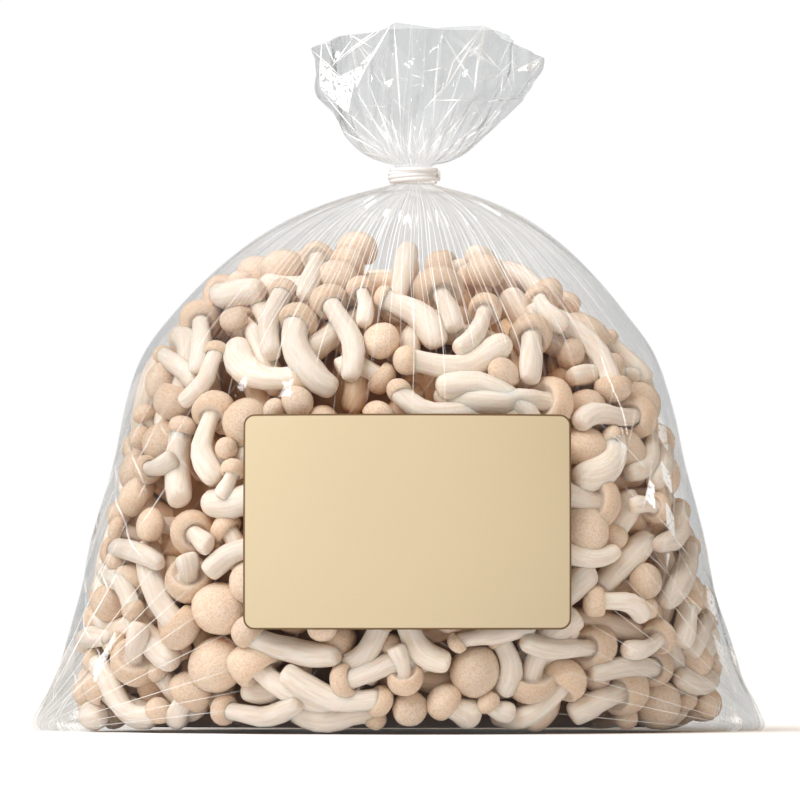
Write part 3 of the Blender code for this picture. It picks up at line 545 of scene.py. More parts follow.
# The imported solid's mushrooms come first, by the same rule and the same draws as it was made with.
MAIN_SCATTER = 47
draw = np.random.default_rng(6)
main_front, main_front_radii = front_mushrooms(MAIN_READINGS, draw)
main_rest, main_rest_radii = scattered_mushrooms(MAIN_SCATTER, draw, main_front)
main_spines = np.vstack([main_front, main_rest])
main_radii = np.vstack([main_front_radii, main_rest_radii])
print(len(main_spines), "mushrooms are the packed solid's own")

# %% [markdown]
# Loose mushrooms in a bag touch but don't pass through each other. Each spine is treated as seven balls.
# Balls of different mushrooms that overlap push apart, those past the film or the floor are pushed in, and
# then each mushroom turns back to its own shape, by the best rotation between its points and its shape at
# the start.

# %% Let the mushrooms settle
# The share of its own shape that a mushroom takes back at each step, and of an overlap that each step undoes
FULL_SHAPE_KEPT, OVERLAP_UNDONE = 0.5, 0.35
# A cap's ball as a share of the cap
CAP_BALL = 0.95
# Balls are compared in blocks of this many, to save memory, and pairs within REACH are found again now and
# then
BLOCK, REACH, STEPS_A_SEARCH = 400, 5 * MM, 10


def near_pairs(points, own, room):
    """Numbers of the balls of different mushrooms that lie within reach of touching."""
    firsts, seconds = [], []
    for start in range(0, len(points), BLOCK):
        block = points[start : start + BLOCK]
        distance = np.linalg.norm(block[:, None, :] - points[None, :, :], axis=2)
        close = distance < room[start : start + BLOCK, None] + room[None, :] + REACH
        close &= own[start : start + BLOCK, None] != own[None, :]
        first, second = np.nonzero(close)
        firsts.append(first + start)
        seconds.append(second)
    return np.concatenate(firsts), np.concatenate(seconds)


def settle(spines, radii, homing, steps):
    """Pushes the mushrooms apart and into the heap. Each keeps its shape, and homing pulls it to its start.

    The best rotation comes from the singular values of the sum of products of the points before and after.
    """
    count, per = spines.shape[:2]
    size = np.repeat(radii[:, 1:], per, axis=1)
    size[:, 0] = CAP_BALL * radii[:, 0]
    size = size.reshape(-1)
    own = np.repeat(np.arange(count), per)
    rest = spines - spines.mean(axis=1, keepdims=True)
    home = spines.copy()
    now = spines.reshape(-1, 3).copy()
    homing = np.broadcast_to(np.asarray(homing, float).reshape(-1, 1, 1), (count, 1, 1))
    for step in range(steps):
        if step % STEPS_A_SEARCH == 0:
            first, second = near_pairs(now, own, size)
        apart = now[first] - now[second]
        distance = np.linalg.norm(apart, axis=1) + 1e-9
        push = apart * (np.clip(size[first] + size[second] - distance, 0, None) / distance)[:, None]
        moved = np.stack([np.bincount(first, push[:, i], len(now)) for i in range(3)], axis=1)
        now = now + OVERLAP_UNDONE * moved
        depth, way_in = heap_depth(now)
        now = now + way_in * np.clip(size - depth, 0, None)[:, None]
        now = now - way_in * 0.1 * np.clip(depth - size - 3 * MM, 0, 1 * MM)[:, None]
        now[:, 2] = np.maximum(now[:, 2], size + OFF_TABLE)
        shaped = now.reshape(count, per, 3)
        centre = shaped.mean(axis=1, keepdims=True)
        u, _, vt = np.linalg.svd(np.einsum("nki,nkj->nij", rest, shaped - centre))
        u[:, :, 2] *= np.sign(np.linalg.det(u @ vt))[:, None]
        kept = np.einsum("nki,nij->nkj", rest, u @ vt) + centre
        shaped = shaped + FULL_SHAPE_KEPT * (kept - shaped) + homing * (home - shaped)
        now = np.round(shaped.reshape(-1, 3), 6)
    return now.reshape(count, per, 3)


main_spines = settle(main_spines, main_radii, homing=0.04, steps=140)
print("the packed solid's mushrooms are settled")

# %% [markdown]
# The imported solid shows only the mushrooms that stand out, on a plain lump. Here the gaps are filled: the
# smaller ones read at the front, then more by the same rule: a ring at the foot, others over the surface,
# and two layers below it, so that between two mushrooms the eye always meets a third. All of them settle
# once more, with the first ones held near their place.

# %% Fill the heap with more mushrooms
# How many, how much deeper, how far apart, and how high the highest may be
LAYERS = ((24, 1.0 * MM, 17 * MM, 10), (72, 0.0, 15 * MM, 178), (104, 8.0 * MM, 18 * MM, 178),
          (56, 17.0 * MM, 23 * MM, 178))

draw = np.random.default_rng(11)
small_spines, small_radii = front_mushrooms(SMALL_READINGS, draw)
all_spines, all_radii = [main_spines, small_spines], [main_radii, small_radii]
surface = np.vstack(all_spines)
for count, deeper, spacing, highest in LAYERS:
    taken = surface if deeper < 2 * MM else surface[:1]
    more_spines, more_radii = scattered_mushrooms(count, draw, taken, deeper, spacing, highest)
    all_spines.append(more_spines)
    all_radii.append(more_radii)
homing = np.repeat([0.3, 0.12, 0.04],
                   [len(main_spines), len(small_spines), sum(layer[0] for layer in LAYERS)])
radii = np.vstack(all_radii)
spines = settle(np.vstack(all_spines), radii, homing, steps=110)
print(len(spines), "mushrooms in all")

# %% [markdown]
# One shimeji is a profile carried along its spine: a cut foot, a stem a little thicker at its middle, gills
# under a rolled-in edge, and a smooth dome. No two are alike, so each gets its own cap height, lobes and
# bulges from a seeded draw. The frame that carries the rings is turned as little as possible from one ring
# to the next. How deep each point lies in the heap is kept too, for the painted shade that browns and
# darkens the flesh deep in the gaps.

# %% Skin a mushroom along its spine
# Share of the stem's length and of its thickness, from the cut foot up to the gills
STEM_PROFILE = np.array((
    (0.0, 0.24), (0.006, 0.46), (0.022, 0.68), (0.05, 0.86), (0.10, 0.98), (0.20, 1.06), (0.32, 1.10),
    (0.46, 1.07), (0.60, 1.00), (0.74, 0.92), (0.87, 0.87), (0.97, 0.87),
))
# Height above the cap's middle and radius, as shares of the cap's half width, from the gills to the crown:
# first a young cap, still closed round its stem, then an open one
CLOSED_CAP = np.array((
    (-0.45, 0.38), (-0.50, 0.43), (-0.57, 0.48), (-0.64, 0.53), (-0.685, 0.61), (-0.66, 0.73), (-0.57, 0.84),
    (-0.43, 0.925), (-0.24, 0.98), (-0.03, 1.0), (0.19, 0.965), (0.40, 0.885), (0.58, 0.765), (0.72, 0.60),
    (0.82, 0.41), (0.875, 0.22), (0.89, 0.08),
))
OPEN_CAP = np.array((
    (-0.38, 0.42), (-0.39, 0.56), (-0.43, 0.67), (-0.50, 0.76), (-0.545, 0.83), (-0.535, 0.895),
    (-0.45, 0.95), (-0.32, 0.985), (-0.15, 1.0), (0.05, 0.985), (0.24, 0.93), (0.41, 0.84),
    (0.56, 0.71), (0.67, 0.55), (0.74, 0.38), (0.785, 0.20), (0.80, 0.07),
))
GILL_RINGS = 4
# Between these depths in the heap, painted shade browns and darkens the colour more and more, standing
# for light that has met more and more flesh on its way in
SHADE_FROM, SHADE_FULL = 7 * MM, 19 * MM


def carried_frames(centres):
    """Two unit sides at each ring of each mushroom, square to its spine, turned as little as can be."""
    tangent = np.gradient(centres, axis=1)
    tangent /= np.linalg.norm(tangent, axis=2, keepdims=True)
    side = np.cross(tangent[:, 0], (0.31, 0.87, 0.38))
    sides = []
    for ring in range(centres.shape[1]):
        side = side - tangent[:, ring] * (side * tangent[:, ring]).sum(axis=1, keepdims=True)
        side = side / np.linalg.norm(side, axis=1, keepdims=True)
        sides.append(side)
    side = np.stack(sides, axis=1)
    return side, np.cross(tangent, side)


def mushroom_rings(spines, radii, sides, draw):
    """Rings of every mushroom with their attributes.

    A ring's centre lies on the spine. Its radius is the profile's, times 1 + small waves round it and along
    it. straight is the same point on the mushroom laid straight, in metres, for patterns that follow the
    stem. cap is 1 on the cap, crown grows to 1 at its top, gill marks its underside, tint is the mushroom's
    own tone, and deep is how far into the heap a point lies, for the painted shade of the gaps.
    """
    count = len(spines)
    cap_radius, stem_radius = radii[:, :1], radii[:, 1:]
    upward = spines[:, ::-1]
    axis = upward[:, -1] - upward[:, -2]
    axis /= np.linalg.norm(axis, axis=1, keepdims=True)
    tall = draw.uniform(0.80, 1.04, (count, 1))
    openness = draw.uniform(0, 1, (count, 1)) ** 2
    profile = CLOSED_CAP.T[:, None] + openness * (OPEN_CAP - CLOSED_CAP).T[:, None]
    top_share = STEM_PROFILE[-1, 0]
    stem = np.stack([resample(line[:-1], STEM_PROFILE[:, 0] / top_share) for line in upward])
    stem_length = np.linalg.norm(np.diff(upward[:, :-1], axis=1), axis=2).sum(axis=1)[:, None]
    stem_height = STEM_PROFILE[:, 0] * stem_length
    cap_height = profile[0] * tall * cap_radius
    join = upward[:, -1:] + axis[:, None] * cap_height[:, :1, None]
    stem += (join - stem[:, -1:]) * (STEM_PROFILE[:, 0] ** 3)[None, :, None]
    cap = upward[:, -1:] + axis[:, None] * cap_height[:, :, None]
    lean = np.cross(axis, draw.normal(0, 0.11, (count, 3)))
    cap += lean[:, None] * (cap_height * np.clip(profile[0] + 0.4, 0, 1))[:, :, None]
    centres = np.concatenate([stem, cap], axis=1)
    side, across = carried_frames(stem)
    cap_rings = len(OPEN_CAP)
    for_cap = side[:, -1] - axis * (side[:, -1] * axis).sum(axis=1, keepdims=True)
    for_cap /= np.linalg.norm(for_cap, axis=1, keepdims=True)
    side = np.concatenate([side, np.repeat(for_cap[:, None], cap_rings, axis=1)], axis=1)
    across = np.concatenate([across, np.repeat(np.cross(axis, for_cap)[:, None], cap_rings, axis=1)], axis=1)
    radius = np.concatenate([STEM_PROFILE[:, 1] * stem_radius, profile[1] * cap_radius], axis=1)
    first_cap = len(STEM_PROFILE)
    gills = slice(first_cap, first_cap + GILL_RINGS)
    edge = radius[:, gills][:, -1:]
    radius[:, gills] = 0.95 * stem_radius + np.linspace(0, 1, GILL_RINGS) * (edge - 0.95 * stem_radius)
    turn = np.arange(sides) * 2 * math.pi / sides
    along = np.linspace(0, 1, len(STEM_PROFILE))
    phase = draw.uniform(0, 2 * math.pi, (count, 6, 1, 1))
    lobes = draw.uniform(0.0, 0.07, (count, 1, 1))
    waves = np.ones((count, centres.shape[1], sides))  # the depth of each wave is a share of the radius
    waves[:, :first_cap] += 0.06 * np.cos(2 * turn + phase[:, 0] + 2 * along[:, None])
    waves[:, :first_cap] += 0.025 * np.cos(3 * turn + phase[:, 1] - 3 * along[:, None])
    waves[:, :first_cap] += 0.05 * np.sin(6 * along[:, None] + phase[:, 2])
    waves[:, :first_cap] += 0.03 * np.cos(turn + 7 * along[:, None] + phase[:, 3])
    waves[:, first_cap:] += lobes * np.cos(2 * turn + phase[:, 3]) + 0.012 * np.cos(5 * turn + phase[:, 4])
    waves[:, first_cap : first_cap + 7] += 0.02 * np.cos(9 * turn + phase[:, 5])
    radius = radius[:, :, None] * waves
    ring_x, ring_y = radius * np.cos(turn), radius * np.sin(turn)
    points = centres[:, :, None] + ring_x[..., None] * side[:, :, None]
    points = points + ring_y[..., None] * across[:, :, None]
    height = np.concatenate([stem_height, stem_height[:, -1:] + cap_height - cap_height[:, :1]], axis=1)
    shift = draw.uniform(0, 1, (count, 1, 1))
    straight = np.stack([ring_x + shift, ring_y + shift, height[:, :, None] + 0 * ring_x], axis=-1)
    skin = np.concatenate([[0.45, 0.35, 0.15], np.zeros(first_cap - 3), np.linspace(0.1, 0.35, GILL_RINGS),
                           [0.55, 0.8], np.ones(cap_rings - GILL_RINGS - 2)])
    tint = np.broadcast_to(draw.uniform(0, 1, (count, 1, 1)), ring_x.shape)
    crown = np.concatenate([np.zeros(first_cap), np.linspace(0, 1, cap_rings)])
    under = np.concatenate([np.zeros(first_cap), np.ones(GILL_RINGS), np.zeros(cap_rings - GILL_RINGS)])
    under = (under + 0 * height)[:, :, None]
    gill = np.stack(np.broadcast_arrays(np.cos(turn), np.sin(turn), under), axis=-1)
    depth, _ = heap_depth(points.reshape(-1, 3))
    deep = np.clip((depth.reshape(ring_x.shape) - SHADE_FROM) / (SHADE_FULL - SHADE_FROM), 0, 1)
    return points, {
        "straight": straight,
        "deep": deep,
        "gill": gill,
        "cap": np.broadcast_to(skin[None, :, None], ring_x.shape),
        "crown": np.broadcast_to(crown[None, :, None], ring_x.shape),
        "tint": tint,
    }


# A mushroom whose cap lies deeper than this is inside, and one whose middle is before this is at the front
INSIDE_FROM, FRONT_BEFORE = 17 * MM, -18 * MM


def grouped(spines):
    """Which of the three pieces each mushroom goes in: the front, the back and sides, or the inside."""
    depth, _ = heap_depth(spines[:, 0])
    inside = depth > INSIDE_FROM
    front = spines[:, :, 1].mean(axis=1) < FRONT_BEFORE
    return {"mushrooms_front": front & ~inside, "mushrooms_back": ~front & ~inside,
            "mushrooms_inside": inside}


groups = grouped(spines)
print({name: int(chosen.sum()) for name, chosen in groups.items()})

# %% [markdown]
# Shimeji flesh is moist and faintly see-through, so light enters it and comes out softened: that is
# subsurface scattering, over about 2.5 mm. Caps are pale tan with fine darker specks, palest at the crown,
# and stems are cream with fibres along them. The patterns read the mushroom laid straight, so fibres follow
# a bent stem. Deep in the gaps of the heap the colour is painted browner and darker: painted shade, for
# light that has met other mushrooms on its way in.

# %% The finish of the mushrooms
# In mm: how wide the specks, the fibres and the soft blotches are. A fibre is eleven times as long as it is
# wide.
SPECK, FIBRE, BLOTCH = 0.7, 1.1, 5.0
FIBRE_STRETCH = 0.09
GILLS = 44.0
# What is laid over a cap and a stem, from the first colour on: the pattern, and its colour
# The crown's paler colour is partly the cap's own tone and partly painted light: the crown faces out to the
# lamps, and the tan edge under it turns into shade
CAP_LAYERS = ("#E2C8AD", ("crown", "#F1E1D0"), ("blotch", "#E7D1BA"), ("speck", "#B98C66"))
STEM_LAYERS = ("#F6EFE7", ("blotch", "#F0E4D7"), ("fibre", "#DCC8B3"))
GILL_SHADOW = "#B58D62"
# What the colour deep in the gaps is multiplied by: painted shade
GAP_PAINTED_SHADE = (0.98, 0.76, 0.54, 1.0)


def shimeji_flesh():
    """Fresh shimeji: moist flesh, IOR 1.4, a satin roughness of 0.24 to 0.44, light scattered over 2.5 mm.

    Red light goes furthest in flesh, so the radius falls from red to blue. The gills' spokes are the sine
    of the turn round the stem times their number.
    """
    material, tree = new_material("shimeji flesh, moist")
    straight, gill = (add(tree, "Attribute", attribute_name=key).outputs["Vector"]
                      for key in ("straight", "gill"))
    cap, crown, tint, deep = (add(tree, "Attribute", attribute_name=key).outputs["Fac"]
                              for key in ("cap", "crown", "tint", "deep"))
    speck = add(tree, "TexNoise", {"Vector": straight, "Scale": 1 / (SPECK * MM), "Detail": 2.0,
                                   "Roughness": 0.6})
    speck = add(tree, "MapRange", {"Value": speck, "From Min": 0.45, "From Max": 0.64})
    along = add(tree, "Mapping", {"Vector": straight, "Scale": (1.0, 1.0, FIBRE_STRETCH)})
    fibre = add(tree, "TexNoise", {"Vector": along, "Scale": 1 / (FIBRE * MM), "Detail": 2.0})
    fibre = add(tree, "MapRange", {"Value": fibre, "From Min": 0.44, "From Max": 0.62})
    shows = {
        "crown": add(tree, "MapRange", {"Value": crown, "From Min": 0.35, "From Max": 0.75}),
        "blotch": add(tree, "TexNoise", {"Vector": straight, "Scale": 1 / (BLOTCH * MM), "Detail": 2.0}),
        "speck": add(tree, "Math", {0: speck, 1: 0.36}, operation="MULTIPLY"),
        "fibre": add(tree, "Math", {0: fibre, 1: 0.40}, operation="MULTIPLY"),
    }
    coats = []
    for ground, *layers in (STEM_LAYERS, CAP_LAYERS):
        coat = srgb(ground)
        for pattern, colour in layers:
            coat = add(tree, "Mix", {0: shows[pattern], 6: coat, 7: srgb(colour)}, data_type="RGBA")
        coats.append(coat)
    colour = add(tree, "Mix", {0: cap, 6: coats[0], 7: coats[1]}, data_type="RGBA")
    part = add(tree, "SeparateXYZ", {0: gill}).outputs
    spoke = add(tree, "Math", {0: part[0], 1: part[1]}, operation="ARCTAN2")
    spoke = add(tree, "Math", {0: spoke, 1: GILLS}, operation="MULTIPLY")
    spoke = add(tree, "Math", {0: spoke}, operation="SINE")
    spoke = add(tree, "Math", {0: spoke, 1: part[2], 2: 0.0}, operation="MULTIPLY_ADD")
    spoke = add(tree, "MapRange", {"Value": spoke, "To Max": 0.6})
    colour = add(tree, "Mix", {0: spoke, 6: colour, 7: srgb(GILL_SHADOW)}, data_type="RGBA")
    toned = add(tree, "MapRange", {"Value": tint, "To Min": 0.89, "To Max": 1.05})
    colour = add(tree, "VectorMath", {0: colour, "Scale": toned}, operation="SCALE")
    # Painted shade: deeper in the heap the colour is multiplied towards a darker brown
    shade = add(tree, "Mix", {0: deep, 6: (1.0, 1.0, 1.0, 1.0), 7: GAP_PAINTED_SHADE}, data_type="RGBA")
    colour = add(tree, "VectorMath", {0: colour, 1: shade}, operation="MULTIPLY")
    rough = add(tree, "MapRange", {"Value": shows["blotch"], "To Min": 0.24, "To Max": 0.44})
    relief = add(tree, "Math", {0: shows["speck"], 1: shows["fibre"]}, operation="ADD")
    bump = add(tree, "Bump", {"Height": relief, "Strength": 0.5, "Distance": 0.1 * MM})
    flesh = add(tree, "BsdfPrincipled", {
        "Base Color": colour, "Roughness": rough, "IOR": 1.4, "Specular IOR Level": 0.5, "Normal": bump,
        "Subsurface Weight": 0.35, "Subsurface Radius": (1.0, 0.5, 0.28), "Subsurface Scale": 2.5 * MM,
    })
    add(tree, "OutputMaterial", {"Surface": flesh})
    return material


# How many sides each group's rings have: the fewer, the less of it shows
SIDES = {"mushrooms_front": 22, "mushrooms_back": 18, "mushrooms_inside": 12}
flesh = shimeji_flesh()
for number, (name, chosen) in enumerate(groups.items()):
    draw = np.random.default_rng(20 + number)
    rings, values = mushroom_rings(spines[chosen], radii[chosen], SIDES[name], draw)
    piece(name, skins(name, rings, values), flesh, "mushroom_bunch")

# %% [markdown]
# Under the last layer nothing can be seen, so a plain lump stands for the rest of the heap and keeps light
# from shining through. It follows the heap's own depth, 24 mm down, and is painted the dark brown of
# shaded mushrooms: painted shade.

# %% The heap's hidden middle
CORE_DEPTH = 24 * MM
CORE_LEVELS = np.linspace(1.5, 158, 24) * MM
SHADE_PATCH = 14.0


def core_rings(sides=64, halvings=20):
    """Level rings, each as wide as the heap less the margin, found by halving the gap between in and out."""
    turn = np.arange(sides) * 2 * math.pi / sides
    aim = np.stack([HEAP_HALF_WIDTH * np.cos(turn), HEAP_HALF_DEPTH * np.sin(turn)], axis=1)
    rings = []
    for level in CORE_LEVELS:
        inner, outer = np.zeros(sides), np.ones(sides)
        for _ in range(halvings):
            middle = (inner + outer) / 2
            reach = np.column_stack([aim * middle[:, None], np.full(sides, level)])
            inside = heap_depth(reach)[0] > CORE_DEPTH
            inner, outer = np.where(inside, middle, inner), np.where(inside, outer, middle)
        rings.append(np.column_stack([aim * inner[:, None], np.full(sides, level)]))
    return np.array(rings)[None]


def shaded_flesh():
    """Painted shade: the flesh as dark as deep in the heap, two browns in patches about a cap wide, too dim to
    gloss.
    """
    material, tree = new_material("shimeji flesh, painted shade")
    place = add(tree, "TexCoord").outputs["Object"]
    patches = add(tree, "TexNoise", {"Vector": place, "Scale": 1 / (SHADE_PATCH * MM), "Detail": 2.0})
    colour = add(tree, "Mix", {0: patches, 6: srgb("#7E5533"), 7: srgb("#A2764C")}, data_type="RGBA")
    flesh = add(tree, "BsdfPrincipled", {"Base Color": colour, "Roughness": 0.6})
    add(tree, "OutputMaterial", {"Surface": flesh})
    return material


piece("heap_middle", skins("heap_middle", core_rings()), shaded_flesh(), "mushroom_bunch")

# %% [markdown]
# Thin film bends one way at a time, so it creases in straight sharp lines where a cloth would roll. Waves
# with flat sides and sharp ridges, made from a triangle wave, crease like film. They crowd and deepen
# towards the tied neck, run from it down the shoulders, and fan out of each sealed corner. Over the
# mushrooms the film lies nearly smooth.

# %% The film's relief
LABEL_HALF_WIDTH, LABEL_HALF_HEIGHT = 59.0, 38.75
LABEL_CENTRE_X, LABEL_CENTRE_Z = 3.0, 76.5


def ramp(value, low, high):
    """0 below low, 1 above high, and a smooth cubic step between."""
    t = np.clip((value - low) / (high - low), 0, 1)
    return t * t * (3 - 2 * t)


def crease(phase):
    """A triangle wave from -1 to 1 with sharp ridges and valleys, one wave to each turn of the phase."""
    return 2 * np.abs(2 * (phase / (2 * math.pi) % 1) - 1) - 1


def lumps(turn, height, draw, waves, rounds, tallness):
    """A soft random wave field: a sum of cosines whose counts round the bag are whole, so that it closes."""
    total = np.zeros(np.broadcast(turn, height).shape)
    for _ in range(waves):
        count, rise = draw.integers(*rounds), draw.uniform(-1, 1) * 2 * math.pi / tallness
        total += np.cos(count * turn + rise * height + draw.uniform(0, 2 * math.pi))
    return total / math.sqrt(waves)


def body_relief(turn, points):
    """How far the film stands off its plain outline in mm, at each turn and point, outwards where positive.

    Four reliefs add up, each in its own place: gathers at the neck, soft lumps all over but on the label,
    creases down both sides, and creases that fan out of each corner. Their depths are 0.2 to 0.9 mm.
    """
    draw = np.random.default_rng(31)
    x, y, height = points[..., 0], points[..., 1], points[..., 2]
    on_label = 1 - ramp(np.abs(x - LABEL_CENTRE_X), LABEL_HALF_WIDTH, LABEL_HALF_WIDTH + 8)
    on_label *= 1 - ramp(np.abs(height - LABEL_CENTRE_Z), LABEL_HALF_HEIGHT, LABEL_HALF_HEIGHT + 8)
    on_label *= y < 0
    sway = 0.25 * np.sin(3 * turn + 1) + 0.15 * np.sin(5 * turn + height / 30)
    gathered = ramp(height, 145, 192) * (1 - ramp(height, 199, 204))
    folds = 0.9 * crease(19 * (turn + 0.1 * sway)) + 0.7 * crease(31 * turn + 2 * sway)
    folds = folds + 0.5 * crease(47 * turn + 3)
    relief = 0.5 * gathered * folds
    relief += 0.25 * ramp(height, 199, 204) * folds
    relief += 0.45 * (1 - on_label) * (1 - gathered) * lumps(turn, height, draw, 14, (3, 26), 45)
    sides = ramp(np.abs(x), 70, 105) * ramp(height, 6, 30) * (1 - ramp(height, 120, 170))
    relief += 0.7 * sides * crease(23 * turn + 1.3 * np.sin(height / 21) + 2)
    tip_run, tip_rise = 137 - np.abs(x), height - 2
    from_tip = np.hypot(tip_run, tip_rise)
    fan = crease(15 * np.arctan2(tip_rise, tip_run) + 1.7 * np.sign(y) + np.sign(x))
    relief += 0.9 * ramp(from_tip, 4, 16) * (1 - ramp(from_tip, 30, 75)) * fan * ramp(height, 0.5, 6)
    return relief


print("a crease wave over one turn:", np.round(crease(np.linspace(0, 2 * math.pi, 5)), 2))

# %% [markdown]
# The film is one closed skin: up its outer face, over the edge, and down its inner face, so that light
# meets two surfaces at each wall, as in the real film. Both faces take the same relief along the outer
# face's normal, found from the cross product of the two directions of the grid.

# %% The film of the filled bag
FILM_SIDES = 288
FILM_THICKNESS = 0.35
# Where the rings across the base lie, as shares of its first row
BASE_SHARES = (0.05, 0.35, 0.65, 0.9)


def outward(grid):
    """Unit normals of a grid that closes round: the direction round it crossed with the direction up it."""
    round_it = np.roll(grid, -1, axis=1) - np.roll(grid, 1, axis=1)
    up_it = np.gradient(grid, axis=0)
    normal = np.cross(round_it, up_it)
    return normal / (np.linalg.norm(normal, axis=2, keepdims=True) + 1e-12)


def base_rings(row, turn):
    """Rings across the base from near its middle out to the first row."""
    rings = sections(np.repeat(row[None], len(BASE_SHARES), axis=0), turn)
    rings[..., :2] *= np.array(BASE_SHARES)[:, None, None]
    return rings


def film_body():
    """The outer face from the middle of the base to the tie, then the inner face back, as one closed skin.

    Four values go with it for the finish: lie and tip place each point in the two charts, gathered grows
    towards the neck, and crushed towards both sides.
    """
    turn = np.arange(FILM_SIDES) * 2 * math.pi / FILM_SIDES
    place = np.concatenate([np.linspace(0, 9, 74), np.linspace(9, 15, 61)[1:]])
    neck = np.array([[TIE_BOTTOM, NECK_HALF, NECK_HALF, 1, 1, NECK_CENTRE_X],
                     [TIE_BOTTOM + 3, NECK_HALF, NECK_HALF, 1, 1, NECK_CENTRE_X]])
    outer_rows = np.vstack([smooth_rows(BODY_ROWS, place), neck])
    inner_rows = inset(outer_rows, FILM_THICKNESS)
    inner_rows[:, 1] -= 1.5 * np.clip(1 - inner_rows[:, 0] / 20.0, 0, 1)
    inner_rows[0, 0] = FILM_THICKNESS
    inner_rows[-4:, 1:3] = np.minimum(inner_rows[-4:, 1:3], [[6.0], [4.5], [3.0], [2.6]])
    outer, inner = (np.concatenate([base_rings(rows[0], turn), sections(rows, turn)])
                    for rows in (outer_rows, inner_rows))
    shift = outward(outer) * body_relief(turn[None, :], outer)[..., None]
    shift *= ramp(outer[..., 2:], 0.0, 3.0)
    from_axis = np.clip(inner[..., :1] ** 2 + inner[..., 1:2] ** 2, 0, 30)
    outer, inner = outer + shift, inner + shift * from_axis / 30
    rings = np.concatenate([outer, inner[::-1]])[None]
    height = rings[..., 2]
    around = np.broadcast_to(turn, height.shape)
    lie = np.stack([np.cos(around), np.sin(around), height / 100], axis=-1)
    reach = np.abs(rings[..., 0]) + 0.35 * height
    side = 0.08 + 0.92 * ramp(reach, 108, 124) * (1 - ramp(height, 90, 140))
    run, rise = 138 - np.abs(rings[..., 0]), height + 1
    corner = (1 - ramp(np.hypot(run, rise), 35, 95)) * ramp(height, 0, 2)
    tip = np.stack([np.arctan2(rise, run) + 3 * np.sign(rings[..., 0]) + np.sign(rings[..., 1]),
                    np.hypot(run, rise) / 100, corner], axis=-1)
    return rings * MM, {"lie": lie, "gathered": ramp(height, 100, 192), "crushed": side, "tip": tip}


rings, film_values = film_body()
print("film from", rings.reshape(-1, 3).min(axis=0).round(4), "to", rings.reshape(-1, 3).max(axis=0).round(4))

# %% [markdown]
# The film is clear plastic, most likely polypropylene: IOR about 1.5, glossy, blown thin. What the eye gets
# from it is a faint grey where it is seen through twice, mirror glints, and white lines where it was
# creased, which scatter light. So the shader is mostly Transparent, with a mirror share that grows where
# the film is seen aslant, and a white veil along the creases. That white is partly plastic whitened by the
# fold and partly a painted highlight, the glint off each fold's rounded edge, and it glows a little: painted
# light. Real film hardly dims what lies in it, so light on its way to the mushrooms passes freely.
#
# Creases are straight, so each family of them is drawn on a flat chart of the film. One chart is the turn
# round the bag with the height, and the other is the angle at which a point is seen from the nearer corner.

# %% Families of creases
# How many to a unit of their chart, their turn in radians, and a line's share of the strip between two. The
# first two run down from the neck. Rising and falling ones cross them at the sides, and fanned ones leave
# the corners. Shining and glinting give no lines, only strips, which with the rising ones pick the facets
# painted white as glints.
CREASES = {
    "pulled": (10.0, 0.04, 0.024), "fine": (27.0, -0.02, 0.05), "rising": (7.5, 0.62, 0.016),
    "falling": (6.0, -0.95, 0.015), "fanned": (9.0, 0.0, 0.025), "shining": (14.25, 0.35, 0.0),
    "glinting": (12.0, -0.75, 0.0),
}


def strips(tree, place, number, turned, width):
    """Straight creases with flat strips between, this many to a unit of the chart: lines, and strip colours.

    The chart is turned and only its first number is kept. One-dimensional cells along it are the strips,
    and a line is 1 at the edge of a cell and falls to 0 at its width.
    """
    across = add(tree, "Mapping", {"Vector": place, "Rotation": (0.0, 0.0, turned),
                                   "Scale": (number, number, 0.0)})
    across = add(tree, "SeparateXYZ", {0: across}).outputs[0]
    cells, edges = (
        add(tree, "TexVoronoi", {"W": across, "Scale": 1.0}, voronoi_dimensions="1D", feature=feature)
        for feature in ("F1", "DISTANCE_TO_EDGE"))
    lines = add(tree, "MapRange", {"Value": edges.outputs["Distance"], "From Max": width, "To Min": 1.0,
                                   "To Max": 0.0})
    return lines, cells.outputs["Color"]


def film_charts(tree):
    """The two charts of the film and all its families of creases, and how near a point is to a corner.

    The first chart is the turn times how far the point is from the axis, and the height. The second is tip
    itself: its first number is below 0 at the left corner, and its last is the nearness to a corner.
    """
    lie, tip = (add(tree, "Attribute", attribute_name=key).outputs["Vector"] for key in ("lie", "tip"))
    part = add(tree, "SeparateXYZ", {0: lie}).outputs
    back = add(tree, "Math", {0: part[1], 1: -1.0}, operation="MULTIPLY")
    turn = add(tree, "Math", {0: part[0], 1: back}, operation="ARCTAN2")
    level = add(tree, "VectorMath", {0: lie, 1: (1.0, 1.0, 0.0)}, operation="MULTIPLY")
    wide = add(tree, "VectorMath", {0: level}, operation="LENGTH")
    turn = add(tree, "Math", {0: turn, 1: wide}, operation="MULTIPLY")
    chart = add(tree, "CombineXYZ", {0: turn, 1: part[2]})
    nearest = add(tree, "SeparateXYZ", {0: tip}).outputs
    at_right = add(tree, "MapRange", {"Value": nearest[0]})
    right_corner = add(tree, "Math", {0: nearest[2], 1: at_right}, operation="MULTIPLY")
    made = {key: strips(tree, tip if key == "fanned" else chart, *row) for key, row in CREASES.items()}
    return chart, made, nearest[2], right_corner


print("families of creases:", ", ".join(CREASES))

# %% Where the creases show
# The noise that drops parts of some families, so that no crease runs on for ever: how fine, and from where
# to where
BREAKS = (5.0, 0.40, 0.56)


